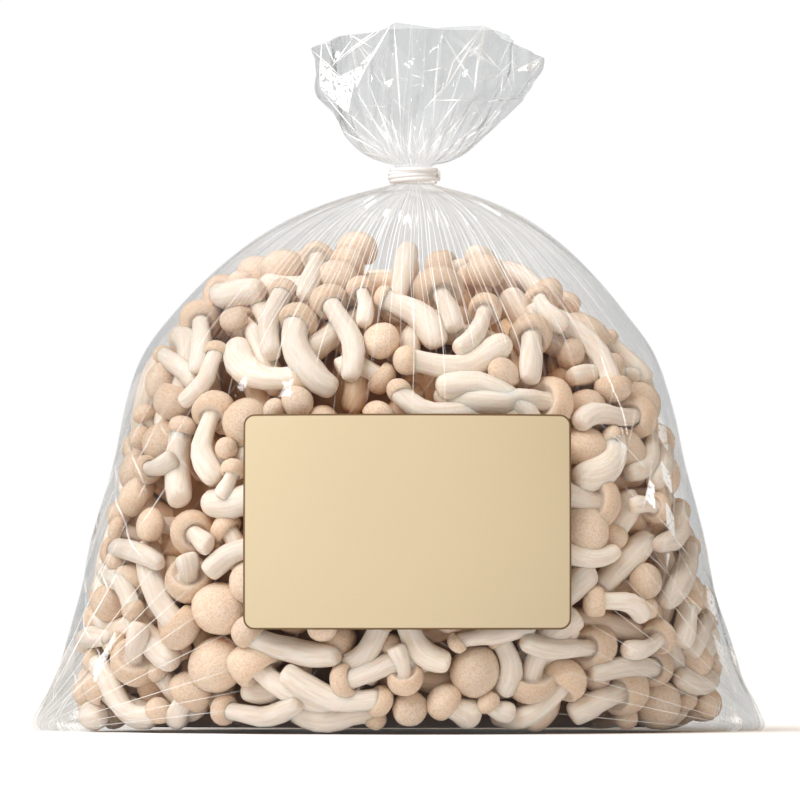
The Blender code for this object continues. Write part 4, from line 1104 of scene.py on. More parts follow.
def crease_lines(tree, chart, made, gathered, crushed, corner, creases):
    """How white each point is: each family times where it shows, and the whitest of them all.

    Creases from the neck follow gathered, or gathered to the power 2.2 for the fine ones. The slanted ones
    follow crushed, and crumpled film has its listed folds in their place.
    """
    fineness, least, most = BREAKS
    broken = add(tree, "TexNoise", {"Vector": chart, "Scale": fineness, "Detail": 1.0}, noise_dimensions="2D")
    kept = add(tree, "MapRange", {"Value": broken, "From Min": least, "From Max": most})
    dropped = add(tree, "Math", {0: 1.0, 1: kept}, operation="SUBTRACT")
    least_kept = add(tree, "Math", {0: kept, 1: 0.35}, operation="MAXIMUM")
    neck = add(tree, "Math", {0: gathered, 1: 2.2}, operation="POWER")
    shown = {}
    for key, share in (("pulled", gathered), ("fine", neck), ("rising", kept), ("falling", dropped),
                       ("fanned", corner)):
        shown[key] = add(tree, "Math", {0: made[key][0], 1: share}, operation="MULTIPLY")
    pulled = add(tree, "Math", {0: shown["pulled"], 1: least_kept}, operation="MULTIPLY")
    fine = add(tree, "Math", {0: shown["fine"], 1: 0.9}, operation="MULTIPLY")
    line = add(tree, "Math", {0: pulled, 1: fine}, operation="MAXIMUM")
    if creases is None:
        slanted = add(tree, "Math", {0: shown["rising"], 1: shown["falling"]}, operation="MAXIMUM")
        slanted = add(tree, "Math", {0: slanted, 1: crushed}, operation="MULTIPLY")
    else:
        line = add(tree, "Math", {0: line, 1: 0.8}, operation="MULTIPLY")
        slanted = folded(tree, creases)
    line = add(tree, "Math", {0: line, 1: slanted}, operation="MAXIMUM")
    line = add(tree, "Math", {0: line, 1: shown["fanned"]}, operation="MAXIMUM")
    return line, add(tree, "Math", {0: neck, 1: neck}, operation="MULTIPLY")


def folded(tree, creases):
    """How white the listed folds make each point: each is a slim rhombus, |u| + |v| < 1 in its frame."""
    plan = add(tree, "Attribute", attribute_name="plan").outputs["Vector"]
    least = 9.0
    for x0, z0, x1, z1, half_width in creases:
        size = add(tree, "Mapping", {
            "Vector": plan, "Location": ((x0 + x1) / 2, (z0 + z1) / 2, 0.0),
            "Rotation": (0.0, 0.0, math.atan2(z1 - z0, x1 - x0)),
            "Scale": (math.hypot(x1 - x0, z1 - z0) / 2, half_width, 1.0)}, vector_type="TEXTURE")
        size = add(tree, "VectorMath", {0: size}, operation="ABSOLUTE")
        size = add(tree, "VectorMath", {0: size, 1: (1.0, 1.0, 0.0)}, operation="DOT_PRODUCT")
        least = add(tree, "Math", {0: size, 1: least}, operation="MINIMUM")
    folds = add(tree, "MapRange", {"Value": least, "From Min": 0.6, "From Max": 1.0, "To Min": 1.0,
                                   "To Max": 0.0})
    white = add(tree, "SeparateXYZ", {0: plan}).outputs[2]
    return add(tree, "Math", {0: folds, 1: white}, operation="MULTIPLY")


print("creases break up", round(1 / BREAKS[0], 2), "of a unit of the chart apart")

# %% [markdown]
# Between two creases the film is flat, and a flat bit of film acts as a mirror. Most show a bit of the grey
# room. A few that would send a lamp to the eye are painted white instead, a painted reflection that looks
# like white splinters with a crackled edge.

# %% Flat facets of the film
# How fine the crackle in the painted glints is and the noise where it starts, for filled and for crumpled film
CRACKLE, CRUMPLED_CRACKLE = (60.0, 0.32), (85.0, 0.40)


def painted_glint_facets(tree, chart, made, crushed, creases):
    """Painted glints: white facets where three strips are bright and the film is crushed, or the listed ones.
    """
    fineness, least = CRACKLE if creases is None else CRUMPLED_CRACKLE
    crackle = add(tree, "TexNoise", {"Vector": chart, "Scale": fineness, "Detail": 1.0},
                  noise_dimensions="2D")
    crackle = add(tree, "MapRange", {"Value": crackle, "From Min": least, "From Max": least + 0.1})
    if creases is None:
        painted_glint = 1.0
        for key in ("shining", "glinting", "rising"):
            bright = add(tree, "SeparateColor", {0: made[key][1]}).outputs[0]
            painted_glint = add(tree, "Math", {0: painted_glint, 1: bright}, operation="MULTIPLY")
        painted_glint = add(tree, "MapRange", {"Value": painted_glint, "From Min": 0.46, "From Max": 0.47})
        twice = add(tree, "Math", {0: crushed, 1: crushed}, operation="MULTIPLY")
        painted_glint = add(tree, "Math", {0: painted_glint, 1: twice}, operation="MULTIPLY")
    else:
        painted_glare = add(tree, "Attribute", attribute_name="painted_glare").outputs["Fac"]
        painted_glint = add(tree, "MapRange", {"Value": painted_glare, "From Max": 0.15})
    return add(tree, "Math", {0: painted_glint, 1: crackle}, operation="MULTIPLY")


def leaning_strips(tree, made, crushed, corner, normal):
    """The normal, with each strip leaning its own way, by its colour less a middle grey, times its share."""
    both = add(tree, "VectorMath", {0: made["rising"][1], 1: made["falling"][1]}, operation="ADD")
    tilted = normal
    for colours, grey, share, amount in ((both, 1.0, crushed, 0.3), (made["fanned"][1], 0.5, corner, 0.5)):
        tilt = add(tree, "VectorMath", {0: colours, 1: (grey, grey, grey)}, operation="SUBTRACT")
        share = add(tree, "Math", {0: share, 1: amount}, operation="MULTIPLY")
        tilt = add(tree, "VectorMath", {0: tilt, "Scale": share}, operation="SCALE")
        tilted = add(tree, "VectorMath", {0: tilted, 1: tilt}, operation="ADD")
    return add(tree, "VectorMath", {0: tilted}, operation="NORMALIZE")


print("crackle in the facets is about", round(100 / CRACKLE[0], 1), "mm wide at the bag")

# %% The finish of the film
# What film lets through at each surface: flat, crushed, and in the right corner, where more folds lie
# together
FLAT_GREY, CRUSHED_GREY = (0.938, 0.940, 0.940, 1.0), (0.900, 0.904, 0.904, 1.0)
CORNER_GREY = (0.885, 0.894, 0.900, 1.0)
WHITE = (1.0, 1.0, 1.0, 1.0)
# The part of the plastic's mirror share that is kept, and its most, so that the film's rim doesn't turn
# opaque
MIRROR_SHARE, MIRROR_MOST = 0.6, 0.10
# How white a crease is at most and the haze of the neck's gathers, partly whitened plastic, partly painted
# highlight
LINE_WHITE, NECK_HAZE = 0.8, 0.05


def clear_film(name, creases=None):
    """Blown polypropylene film: IOR 1.5, nearly mirror smooth, with scattering crease lines.

    Clear film is a grey window with a mirror share. A crease scatters light from all round, as a thin rod
    does, so its normal leans to the lamps wherever it lies. Its white is partly a painted highlight, and it
    glows faintly, which is painted light. Film with a list of creases is crumpled.
    """
    material, tree = new_material(name)
    gathered, crushed = (add(tree, "Attribute", attribute_name=key).outputs["Fac"]
                         for key in ("gathered", "crushed"))
    chart, made, corner, right_corner = film_charts(tree)
    line, tight = crease_lines(tree, chart, made, gathered, crushed, corner, creases)
    painted_glint = painted_glint_facets(tree, chart, made, crushed, creases)
    line = add(tree, "Math", {0: line, 1: painted_glint}, operation="MAXIMUM")
    line = add(tree, "Math", {0: line, 1: LINE_WHITE}, operation="MULTIPLY")
    haze = add(tree, "Math", {0: tight, 1: NECK_HAZE}, operation="MULTIPLY")
    line = add(tree, "Math", {0: line, 1: haze}, operation="MAXIMUM")
    glint = add(tree, "Fresnel", {"IOR": 1.5})
    glint = add(tree, "Math", {0: glint, 1: MIRROR_SHARE}, operation="MULTIPLY")
    glint = add(tree, "Math", {0: glint, 1: MIRROR_MOST}, operation="MINIMUM")
    shade = add(tree, "SeparateColor", {0: made["falling"][1]}).outputs[1]
    shade = add(tree, "Math", {0: crushed, 1: shade}, operation="MULTIPLY")
    grey = add(tree, "Mix", {0: shade, 6: FLAT_GREY, 7: CRUSHED_GREY}, data_type="RGBA")
    grey = add(tree, "Mix", {0: right_corner, 6: grey, 7: CORNER_GREY}, data_type="RGBA")
    normal = add(tree, "NewGeometry").outputs["Normal"]
    through = add(tree, "BsdfTransparent", {"Color": grey})
    mirror = add(tree, "BsdfGlossy", {"Color": WHITE, "Roughness": 0.04,
                                      "Normal": leaning_strips(tree, made, crushed, corner, normal)})
    clear = add(tree, "MixShader", {0: glint, 1: through, 2: mirror})
    rod = add(tree, "VectorMath", {0: normal, 1: (-0.6, -0.5, 1.0)}, operation="ADD")
    rod = add(tree, "VectorMath", {0: rod}, operation="NORMALIZE")
    # Painted light: creases and painted glints glow faintly (emission 0.3), so they stay white on shaded film
    white = add(tree, "BsdfPrincipled", {
        "Base Color": (0.95, 0.96, 0.96, 1.0), "Roughness": 0.3, "IOR": 1.5, "Normal": rod,
        "Emission Color": WHITE, "Emission Strength": 0.3,
    })
    film = add(tree, "MixShader", {0: line, 1: clear, 2: white})
    free = add(tree, "BsdfTransparent", {"Color": WHITE})
    for ray in ("Is Diffuse Ray", "Is Shadow Ray"):
        film = add(tree, "MixShader", {0: add(tree, "LightPath").outputs[ray], 1: film, 2: free})
    add(tree, "OutputMaterial", {"Surface": film})
    return material


film = clear_film("clear blown polypropylene film")
piece("film_body", skins("film_body", rings, film_values), film, "bag_film")

# %% [markdown]
# Above the tie the loose end springs open like a fan. It is pleated at the tie, and each pleat opens as it
# rises, so the folds here are deep at the edge and irregular. Each fold has its own place, depth and height
# in a list, with flat film between one fold and the next. Crossing creases crush it, as film pressed in a
# fist is. A fold pressed sharp turns white, partly as whitened plastic and partly as a painted highlight,
# and a flat bit of film between folds can mirror a lamp, shown as a painted reflection in white: both are
# listed too, with their places.

# %% The loose end above the tie
# Height, half width, half depth, power across, power deep, centre in x
MOUTH_ROWS = np.array((
    (206.0, 7.0, 7.0, 1.0, 1.0, 5.2),
    (209.3, 7.2, 7.0, 1.0, 1.0, 5.4),
    (210.8, 12.5, 9.0, 1.0, 1.0, 5.8),
    (214.5, 19.2, 12.0, 1.0, 1.0, 5.6),
    (222.0, 25.2, 15.0, 1.0, 1.0, 5.8),
    (232.0, 30.4, 18.5, 1.0, 1.0, 7.2),
    (243.0, 34.6, 21.5, 1.0, 1.0, 9.0),
    (256.5, 36.8, 24.0, 1.0, 1.0, 10.0),
))
# Where each fold runs round the rim in degrees, its radius as a share of the section's, and its rim's height
RIM_FOLDS = (
    (0, 1.16, 249.5), (20, 0.96, 255.0), (48, 1.10, 261.0), (75, 0.92, 261.5), (100, 1.08, 262.5),
    (128, 0.94, 260.0), (152, 1.06, 258.0), (168, 0.97, 255.0), (180, 1.17, 253.0), (200, 0.95, 256.0),
    (222, 1.08, 256.5), (240, 0.93, 257.5), (253, 1.10, 260.3), (276, 0.94, 258.5), (301, 1.10, 259.5),
    (322, 0.95, 255.5), (342, 1.05, 252.0),
)
# Sharp folds of the loose end: both ends in the photograph's pixels, and how strong each is. The line is a
# rhombus between its ends, and half as wide as its strength times 0.24 mm at each side of its middle.
MM_PER_STRENGTH = 0.24
MOUTH_CREASES = (
    (396, 20, 352, 92, 2.6), (393, 22, 326, 70, 1.4), (398, 22, 334, 66, 1.0), (393, 14, 402, 140, 2.2),
    (486, 20, 476, 78, 2.4), (479, 44, 472, 116, 1.8), (488, 22, 441, 98, 1.8), (486, 26, 446, 74, 1.6),
    (456, 56, 443, 96, 1.6), (450, 84, 420, 116, 1.2), (474, 104, 436, 146, 1.8), (476, 102, 414, 166, 1.8),
    (466, 92, 425, 146, 1.7), (440, 122, 410, 170, 1.7), (473, 106, 428, 158, 1.5), (548, 54, 508, 76, 2.0),
    (546, 54, 514, 104, 1.2), (514, 70, 470, 88, 0.9), (470, 106, 528, 96, 1.0), (478, 103, 428, 103, 0.9),
    (494, 122, 424, 164, 2.2), (490, 126, 452, 144, 1.6), (484, 130, 512, 98, 1.2), (470, 98, 490, 134, 0.9),
    (306, 44, 350, 86, 1.0), (322, 32, 319, 92, 1.3), (321, 32, 337, 70, 1.2), (356, 38, 328, 72, 1.1),
    (345, 35, 376, 53, 1.3), (316, 84, 370, 150, 1.2), (344, 110, 386, 150, 1.4), (352, 86, 392, 152, 1.4),
    (334, 126, 392, 160, 1.4), (358, 150, 396, 162, 1.2), (366, 80, 400, 164, 1.3), (388, 110, 405, 168, 1.4),
    (412, 112, 408, 168, 1.4), (424, 118, 411, 168, 1.4), (472, 140, 426, 168, 1.3), (466, 158, 428, 166, 1.2),
    (503, 74, 500, 100, 1.0), (505, 74, 514, 96, 0.9), (420, 76, 446, 70, 0.8), (410, 78, 424, 82, 0.9),
)
# Flat facets painted white as the reflection of a lamp sent straight to the eye: three corners each, in the
# photograph's pixels
PAINTED_MOUTH_GLARES = (
    ((319, 87), (358, 70), (348, 115)), ((321, 60), (341, 79), (320, 87)), ((336, 51), (342, 54), (333, 65)),
    ((356, 71), (376, 50), (356, 92)), ((403, 68), (417, 60), (410, 73)), ((382, 86), (395, 81), (390, 91)),
    ((482, 44), (463, 65), (478, 55)), ((545, 57), (512, 73), (530, 71)),
)
# How white the folds of the front are, and of the back, which shows the same ones mirrored and fainter
FRONT_WHITE, BACK_WHITE = 0.85, 0.3
# A distance in mm that stands for well outside every facet
FAR_OUT = -9.0


def photo_mm(pixels):
    """Points of the photograph, x across and y down, as x and z in mm."""
    pixels = np.asarray(pixels, float)
    return (pixels - (PHOTO_CENTRE_PX, PHOTO_FLOOR_PX)) * (MM_PER_PIXEL, -MM_PER_PIXEL)


def in_triangles(x, z, triangles):
    """How far inside the nearest triangle a point is, in mm: the least of its distances to three edges."""
    most = np.full(x.shape, FAR_OUT)
    for corners in photo_mm(triangles):
        ahead = np.roll(corners, -1, axis=0)
        run = ahead - corners
        way = np.sign(np.cross(run[0], run[1])) / np.linalg.norm(run, axis=1)
        inside = [way[i] * (run[i, 0] * (z - corners[i, 1]) - run[i, 1] * (x - corners[i, 0]))
                  for i in range(3)]
        most = np.maximum(most, np.min(inside, axis=0))
    return most


def film_mouth():
    """The folded fan: the section's radius times the fold's share, which grows from 1 at the tie to the rim.

    The film is crushed by three crease waves that cross. plan holds x and z as the listed folds see them,
    and how white a fold is there. painted_glare is the distance inside the listed facets that are painted
    white as a lamp's reflection.
    """
    turn = np.arange(FILM_SIDES) * 2 * math.pi / FILM_SIDES
    rows = smooth_rows(MOUTH_ROWS, np.linspace(0, len(MOUTH_ROWS) - 1, 92))
    base = sections(rows, turn)
    height = base[..., 2]
    at, share, rim = np.array(RIM_FOLDS).T
    share = np.interp(np.degrees(turn), at, share, period=360)
    rim = np.interp(np.degrees(turn), at, rim, period=360)
    opened = ramp(height, 204, 244)
    finer = crease(27 * turn + height / 40)
    swell = opened * (share - 1) + 0.04 * ramp(height, 205, 214) * (1 - 0.6 * opened) * finer
    centre = rows[:, 5][:, None]
    outer = base.copy()
    outer[..., 0] = centre + (base[..., 0] - centre) * (1 + swell)
    outer[..., 1] = base[..., 1] * (1 + swell)
    outer[..., 2] += (rim - MOUTH_ROWS[-1, 0]) * ramp(height, 216, 256.5)
    crush = 0.9 * crease(8 * turn + height / 2.9) + 0.8 * crease(-11 * turn + height / 3.7 + 1)
    crush += 0.7 * crease(5 * turn - height / 4.3 + 2)
    outer += outward(outer) * (0.75 * ramp(height, 212, 228) * crush)[..., None]
    inner = outer - outward(outer) * FILM_THICKNESS
    axis = centre[:3, None] * (1, 0, 0)
    inner[:3] = axis + (outer[:3] - axis) * (0.4, 0.4, 1.0)
    inner[0, :, 2] = outer[0, :, 2]
    rings = np.concatenate([outer, inner[::-1], outer[:1]])[None]
    around = np.broadcast_to(turn, rings.shape[:3])
    lie = np.stack([0.4 * np.cos(around), 0.4 * np.sin(around), rings[..., 2] / 130], axis=-1)
    rise = ramp(rings[..., 2], 209, 240)
    x, z = rings[..., 0], rings[..., 2]
    before = rings[..., 1] < 0
    across = np.where(before, x, 2 * centre.mean() - x)
    plan = np.stack([across, z, np.where(before, FRONT_WHITE, BACK_WHITE)], axis=-1)
    painted_glare = np.where(before, in_triangles(x, z, PAINTED_MOUTH_GLARES), FAR_OUT)
    return rings * MM, {"lie": lie, "gathered": 1 - 0.7 * rise, "crushed": 0.2 + 0.8 * rise, "tip": 0 * lie,
                        "plan": plan, "painted_glare": painted_glare}


def tube_mesh(name, rings, values):
    """A closed ring of rings, such as a cuff: the last ring is the first one again, so the ends join."""
    count, sides = rings.shape[0] - 1, rings.shape[1]
    index = np.arange(count * sides).reshape(count, sides)
    ahead, above = np.roll(index, -1, axis=1), np.roll(index, -1, axis=0)
    quads = np.stack([index, ahead, np.roll(ahead, -1, axis=0), above], axis=-1).reshape(-1, 4)
    mesh = bpy.data.meshes.new(name)
    mesh.from_pydata(rings[:-1].reshape(-1, 3), [], quads)
    return finish_mesh(mesh, {key: grid[:-1] for key, grid in values.items()})


rings, mouth_values = film_mouth()
print("the loose end is", round(float(np.ptp(rings[..., 0])) / MM, 1), "mm wide")
mouth_values = {key: grid[0] for key, grid in mouth_values.items()}
ends = photo_mm(np.array(MOUTH_CREASES)[:, :4].reshape(-1, 2, 2)).reshape(-1, 4)
creases = [(*(float(end) for end in row), MM_PER_STRENGTH * crease_row[4])
           for row, crease_row in zip(ends, MOUTH_CREASES)]
crumpled = clear_film("clear polypropylene film, crumpled", creases)
piece("film_mouth", tube_mesh("film_mouth", rings[0], mouth_values), crumpled, "bag_film")

# %% [markdown]
# The neck is held by a white strip of the same kind of plastic, wound four times and knotted at the right.
# A strip wound on itself is a tube with a flattened section carried along a helix, and the knot is a short
# tangle of the same strip: a closed curve that crosses itself three times, known as a trefoil.

# %% The tie
TIE_TURNS = 4.2
STRIP_HALF_WIDTH, STRIP_HALF_THICK = 0.88, 0.95
KNOT_HALF_WIDTH, KNOT_HALF_THICK = 0.62, 0.5
KNOT_OUT, KNOT_HEIGHT = 9.3, 205.9
STRETCH_LINE = 1.2


def strip_along(path, half_width, half_thick, sides=14):
    """A flattened tube: an ellipse carried along a path, thick along the curve's side and wide across it."""
    tangent = np.gradient(path, axis=0)
    tangent /= np.linalg.norm(tangent, axis=1, keepdims=True)
    flat_out = path - path.mean(axis=0)
    flat_out = flat_out - tangent * (flat_out * tangent).sum(axis=1, keepdims=True)
    flat_out /= np.linalg.norm(flat_out, axis=1, keepdims=True)
    wide = np.cross(tangent, flat_out)
    turn = np.arange(sides) * 2 * math.pi / sides
    offset = half_thick * np.cos(turn)[None, :, None] * flat_out[:, None]
    return path[:, None] + offset + half_width * np.sin(turn)[None, :, None] * wide[:, None]


def tie_rings():
    """The winding: a helix round the neck whose turns lie on each other, drawn in at both ends."""
    turn = np.linspace(0, 2 * math.pi * TIE_TURNS, 320)
    share = turn / turn[-1]
    radius = NECK_HALF + 1.2 + 0.28 * np.sin(1.31 * turn + 1) - 0.5 * (1 - ramp(share, 0, 0.04))
    height = TIE_BOTTOM + 1.0 + (TIE_TOP - TIE_BOTTOM - 2.0) * share + 0.22 * np.sin(1.23 * turn)
    path = np.stack([NECK_CENTRE_X + radius * np.cos(turn), radius * np.sin(turn), height], axis=1)
    return strip_along(path, STRIP_HALF_WIDTH, STRIP_HALF_THICK)


def knot_rings():
    """The knot: a trefoil, sin t + 2 sin 2t across and cos t - 2 cos 2t up, flattened against the winding."""
    t = np.linspace(0, 2 * math.pi, 160)
    across, up, out = np.sin(t) + 2 * np.sin(2 * t), np.cos(t) - 2 * np.cos(2 * t), -np.sin(3 * t)
    path = np.stack([NECK_CENTRE_X + KNOT_OUT + 0.25 * out, 0.75 * across, KNOT_HEIGHT + 0.62 * up], axis=1)
    return strip_along(path, KNOT_HALF_WIDTH, KNOT_HALF_THICK)[:-1]


def tie_plastic():
    """A strip of white polyethylene: waxy, a little see-through, with fine stretch lines along it."""
    material, tree = new_material("white polyethylene strip, stretched")
    place = add(tree, "TexCoord").outputs["Object"]
    drawn = add(tree, "Mapping", {"Vector": place, "Scale": (1.0, 1.0, 6.0)})
    lines = add(tree, "TexNoise", {"Vector": drawn, "Scale": 1 / (STRETCH_LINE * MM), "Detail": 3.0})
    colour = add(tree, "Mix", {0: lines, 6: srgb("#D9DADC"), 7: srgb("#F3F3F4")}, data_type="RGBA")
    bump = add(tree, "Bump", {"Height": lines, "Strength": 0.5, "Distance": 0.1 * MM})
    strip = add(tree, "BsdfPrincipled", {
        "Base Color": colour, "Roughness": 0.32, "IOR": 1.5, "Normal": bump, "Subsurface Weight": 0.3,
        "Subsurface Radius": (1.0, 1.0, 1.0), "Subsurface Scale": 0.8 * MM,
    })
    add(tree, "OutputMaterial", {"Surface": strip})
    return material


strip = tie_plastic()
piece("tie_winding", skins("tie_winding", tie_rings()[None] * MM), strip, "neck_tie")
piece("tie_knot", skins("tie_knot", knot_rings()[None] * MM), strip, "neck_tie")

# %% [markdown]
# The label is a thin sticker, beige, with rounded corners and a fine brown line round its edge, and it is
# bare. It follows the belly of the bag: every point of a flat rounded rectangle is moved forward to the
# film. How far each point lies from the label's edge is kept on the mesh, and the material draws the line
# from that.

# %% The label
LABEL_CORNER = 4.0
LABEL_THICKNESS = 0.35
LABEL_STAND_OFF = 0.35
# How far in from the edge the columns and rows near it lie
COLUMN_STEPS = (0.0, 0.15, 0.4, 0.7, 1.0, 1.5, 2.0, 2.6, 3.2, 4.0)
ROW_STEPS = (0.0, 0.2, 0.45, 0.75, 1.1, 1.6, 2.3, 3.0, 4.0)


def front_of_bag(x, z):
    """How far forward of the middle the film's outer face is, in mm, from its row at each height."""
    place = np.interp(z, BODY_ROWS[:, 0], np.arange(len(BODY_ROWS)))
    rows = smooth_rows(BODY_ROWS, place.reshape(-1)).reshape(*place.shape, 6)
    half_width, half_depth, across, deep, centre = np.moveaxis(rows[..., 1:], -1, 0)
    share = np.clip(np.abs(x - centre) / half_width, 0, 1) ** (2 / across)
    return half_depth * (1 - share) ** (deep / 2)


def towards_edges(half, edge_steps, middle_steps):
    """Stations from -half to half, close together near both ends."""
    near = half - np.array(edge_steps)[::-1]
    inside = np.linspace(-near[0], near[0], middle_steps)[1:-1]
    return np.concatenate([-near[::-1], inside, near])


def label_mesh():
    """Two faces of a grid and a strip round their rim. Columns in the corners are shorter, to round them."""
    across = towards_edges(LABEL_HALF_WIDTH, COLUMN_STEPS, 60)
    upward = towards_edges(LABEL_HALF_HEIGHT, ROW_STEPS, 40)
    in_corner = np.clip(np.abs(across) - (LABEL_HALF_WIDTH - LABEL_CORNER), 0, LABEL_CORNER)
    drop = LABEL_CORNER - np.sqrt(LABEL_CORNER**2 - in_corner**2)
    x = across[:, None] + 0 * upward
    z = upward * ((LABEL_HALF_HEIGHT - drop) / LABEL_HALF_HEIGHT)[:, None]
    over = np.maximum(np.abs(x) - LABEL_HALF_WIDTH + LABEL_CORNER, 0)
    high = np.maximum(np.abs(z) - LABEL_HALF_HEIGHT + LABEL_CORNER, 0)
    square = np.maximum(np.abs(x) - LABEL_HALF_WIDTH, np.abs(z) - LABEL_HALF_HEIGHT)
    from_edge = np.where((over > 0) & (high > 0), LABEL_CORNER - np.hypot(over, high), -square)
    x, z = x + LABEL_CENTRE_X, z + LABEL_CENTRE_Z
    back = np.stack([x, -front_of_bag(x, z) - LABEL_STAND_OFF, z], axis=-1)
    front = back - np.array([0, LABEL_THICKNESS, 0])
    columns, rows = x.shape
    index = np.arange(columns * rows).reshape(columns, rows)
    a, b, c, d = index[:-1, :-1], index[1:, :-1], index[1:, 1:], index[:-1, 1:]
    front_faces = np.stack([a, b, c, d], axis=-1).reshape(-1, 4)
    back_faces = front_faces[:, ::-1] + columns * rows
    rim = np.concatenate([index[:-1, 0], index[-1, :-1], index[:0:-1, -1], index[0, :0:-1]])
    ahead = np.roll(rim, -1)
    rim_faces = np.stack([ahead, rim, rim + columns * rows, ahead + columns * rows], axis=-1)
    mesh = bpy.data.meshes.new("label_sticker")
    points = np.concatenate([front.reshape(-1, 3), back.reshape(-1, 3)]) * MM
    mesh.from_pydata(points, [], np.concatenate([front_faces, back_faces, rim_faces]))
    return finish_mesh(mesh, {"from_edge": np.tile(from_edge.reshape(-1), 2)})


# The brown line ends between these distances from the edge in mm. The grain is as coarse as shows in the
# render.
LINE_FULL, LINE_GONE, GRAIN = 0.55, 0.75, 0.6


def printed_vinyl():
    """A printed vinyl sticker under satin varnish: even beige, faint paper-like grain, a brown edge line."""
    material, tree = new_material("printed vinyl, satin varnish")
    place = add(tree, "TexCoord").outputs["Object"]
    from_edge = add(tree, "Attribute", attribute_name="from_edge").outputs["Fac"]
    grain = add(tree, "TexNoise", {"Vector": place, "Scale": 1 / (GRAIN * MM), "Detail": 3.0})
    beige = add(tree, "Mix", {0: grain, 6: srgb("#C6B798"), 7: srgb("#CBBC9E")}, data_type="RGBA")
    line = add(tree, "MapRange", {"Value": from_edge, "From Min": LINE_FULL, "From Max": LINE_GONE,
                                  "To Min": 1.0, "To Max": 0.0})
    colour = add(tree, "Mix", {0: line, 6: beige, 7: srgb("#6E5537")}, data_type="RGBA")
    bump = add(tree, "Bump", {"Height": grain, "Strength": 0.15, "Distance": 0.05 * MM})
    vinyl = add(tree, "BsdfPrincipled", {"Base Color": colour, "Roughness": 0.45, "IOR": 1.5, "Normal": bump})
    add(tree, "OutputMaterial", {"Surface": vinyl})
    return material


piece("label_sticker", label_mesh(), printed_vinyl(), "label")

# %% [markdown]
# The bag stands on a plain white table in soft light from the upper left. Small strong lamps would give
# hard shadows, and one big dim lamp would leave the film without glints, so a wide sun and a few softboxes
# share the work. The world differs by who looks: white to the eye, warm and dimmer as a light, and grey in
# the film's mirror. So the background is paper-white, shadows keep their depth, and the clear film still
# shows against the white.

# %% Table and light
TABLE_HALF, TABLE_LEVEL = 6.0, -0.2 * MM
# Name, place, what it is aimed at, width and height in metres, and radiance
SOFTBOXES = (
    ("key softbox", (-0.75, -1.05, 0.95), (0, 0, 0.12), 0.25, 0.25, 12.0),
    ("right strip", (1.25, -0.2, 0.75), (0, 0, 0.12), 0.03, 0.3, 6.0),
    ("top softbox", (0.15, 0.25, 1.3), (0, 0, 0.1), 0.25, 0.12, 8.0),
)
SUN_STRENGTH, SUN_SPREAD, SUN_WAY = 2.95, 50, (0.52, 0.46, -0.82)
# Which rays meet it, colour and strength, from the light that falls on things to the white that the camera
# sees
WORLD_LIGHT = ((1.0, 0.82, 0.64, 1.0), 0.56)
WORLD_SEEN = (("Is Glossy Ray", WHITE, 0.16), ("Is Camera Ray", WHITE, 1.02))


def stage_floor():
    """A wide white table top just under the bag. It is matte, so it mirrors nothing."""
    mesh = bpy.data.meshes.new("table")
    corners = [(x * TABLE_HALF, y * TABLE_HALF, TABLE_LEVEL) for x, y in ((-1, -1), (1, -1), (1, 1), (-1, 1))]
    mesh.from_pydata(corners, [], [(0, 1, 2, 3)])
    table = bpy.data.objects.new("table", mesh)
    scene.collection.objects.link(table)
    material, tree = new_material("white matte table")
    # A little blue in the white makes up for the warm light
    paint = add(tree, "BsdfPrincipled", {"Base Color": (0.94, 0.955, 0.98, 1.0), "Roughness": 0.7,
                                         "Specular IOR Level": 0.0})
    add(tree, "OutputMaterial", {"Surface": paint})
    mesh.materials.append(material)
    table.visible_glossy = False  # as behind a dark card: no white veil of the table on the film's lower half


def aimed(name, data, place, aim):
    """An object for a lamp or a camera: its -Z, the way that both look, is turned from place to aim."""
    holder = bpy.data.objects.new(name, data)
    holder.location = place
    holder.rotation_euler = (Vector(aim) - Vector(place)).to_track_quat("-Z", "Y").to_euler()
    scene.collection.objects.link(holder)
    return holder


def overhead():
    """A wide soft light from above, the left and the front, the same at every place on the table."""
    lamp = bpy.data.lights.new("overhead", "SUN")
    lamp.energy, lamp.angle = SUN_STRENGTH, math.radians(SUN_SPREAD)
    lamp.color = (0.97, 0.985, 1.0)
    aimed("overhead", lamp, (0, 0, 0), SUN_WAY).visible_glossy = False


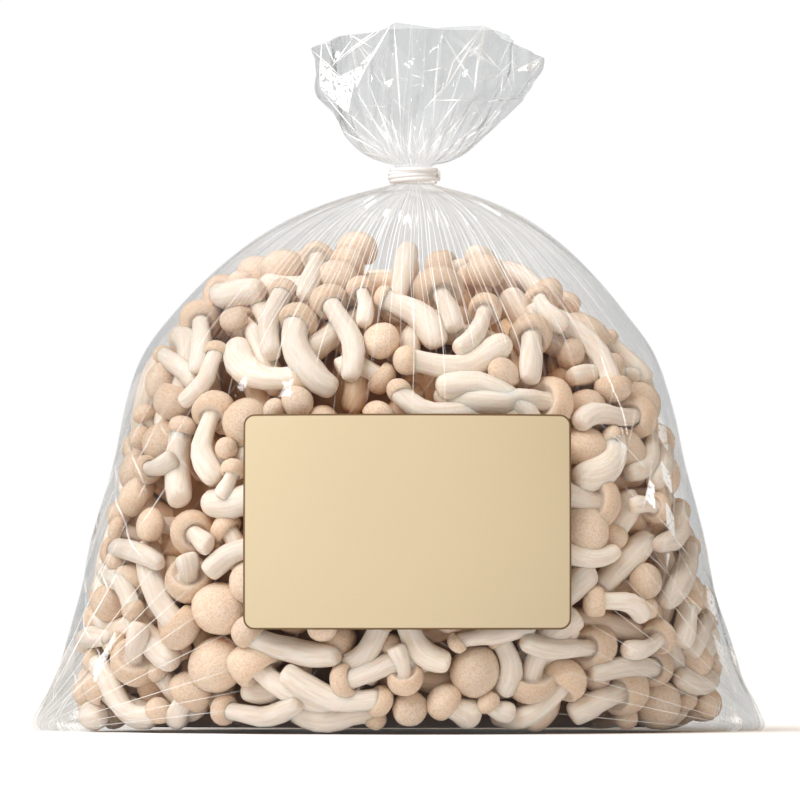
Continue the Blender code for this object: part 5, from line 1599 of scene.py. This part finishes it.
def softbox(name, place, aim, width, height, radiance):
    """An area lamp aimed at a point. Its power is its radiance times pi times its area."""
    lamp = bpy.data.lights.new(name, "AREA")
    lamp.shape = "RECTANGLE"
    lamp.size, lamp.size_y = width, height
    lamp.energy = radiance * math.pi * width * height
    aimed(name, lamp, place, aim)


def white_world():
    """The world as each kind of ray meets it: every mix lays one more ray's own over what was there."""
    world = bpy.data.worlds.new("white studio")
    scene.world = world
    world.use_nodes = True
    tree = world.node_tree
    tree.nodes.clear()
    colour, strength = WORLD_LIGHT
    mixed = add(tree, "Background", {"Color": colour, "Strength": strength})
    for ray, colour, strength in WORLD_SEEN:
        seen = add(tree, "Background", {"Color": colour, "Strength": strength})
        mixed = add(tree, "MixShader", {0: add(tree, "LightPath").outputs[ray], 1: mixed, 2: seen})
    add(tree, "OutputWorld", {"Surface": mixed})


stage_floor()
overhead()
for row in SOFTBOXES:
    softbox(*row)
white_world()
print("lamps:", ", ".join(sorted(lamp.name for lamp in bpy.data.lights)))

# %% [markdown]
# The camera stands where the photographer's stood: low, level and far off, as for a catalogue. Far off, the
# bag hardly narrows with distance. The render has to follow light through many walls of clear film, each
# front and back, so rays may pass more surfaces than usual.

# %% The camera
FRAME_MM = 296.0
SENSOR_MM = 36.0
PHOTO_SIZE_PX = 800


def photo_camera():
    """A camera whose lens is its sensor's width times the distance over the width of the field at the bag."""
    middle_x = (PHOTO_SIZE_PX / 2 - PHOTO_CENTRE_PX) * MM_PER_PIXEL * MM
    middle_z = (PHOTO_FLOOR_PX - PHOTO_SIZE_PX / 2) * MM_PER_PIXEL * MM
    camera = bpy.data.cameras.new("photo camera")
    camera.sensor_width = SENSOR_MM
    camera.lens = SENSOR_MM * EYE_DISTANCE / (FRAME_MM * MM)
    camera.clip_end = 30.0
    return aimed("photo camera", camera, (middle_x, -EYE_DISTANCE, EYE_HEIGHT), (middle_x, 0.0, middle_z))


scene.camera = photo_camera()
scene.view_settings.view_transform = "Standard"
scene.cycles.transparent_max_bounces = 32
scene.cycles.max_bounces = 8
scene.cycles.diffuse_bounces = 5
print("camera lens:", round(scene.camera.data.lens, 1), "mm")
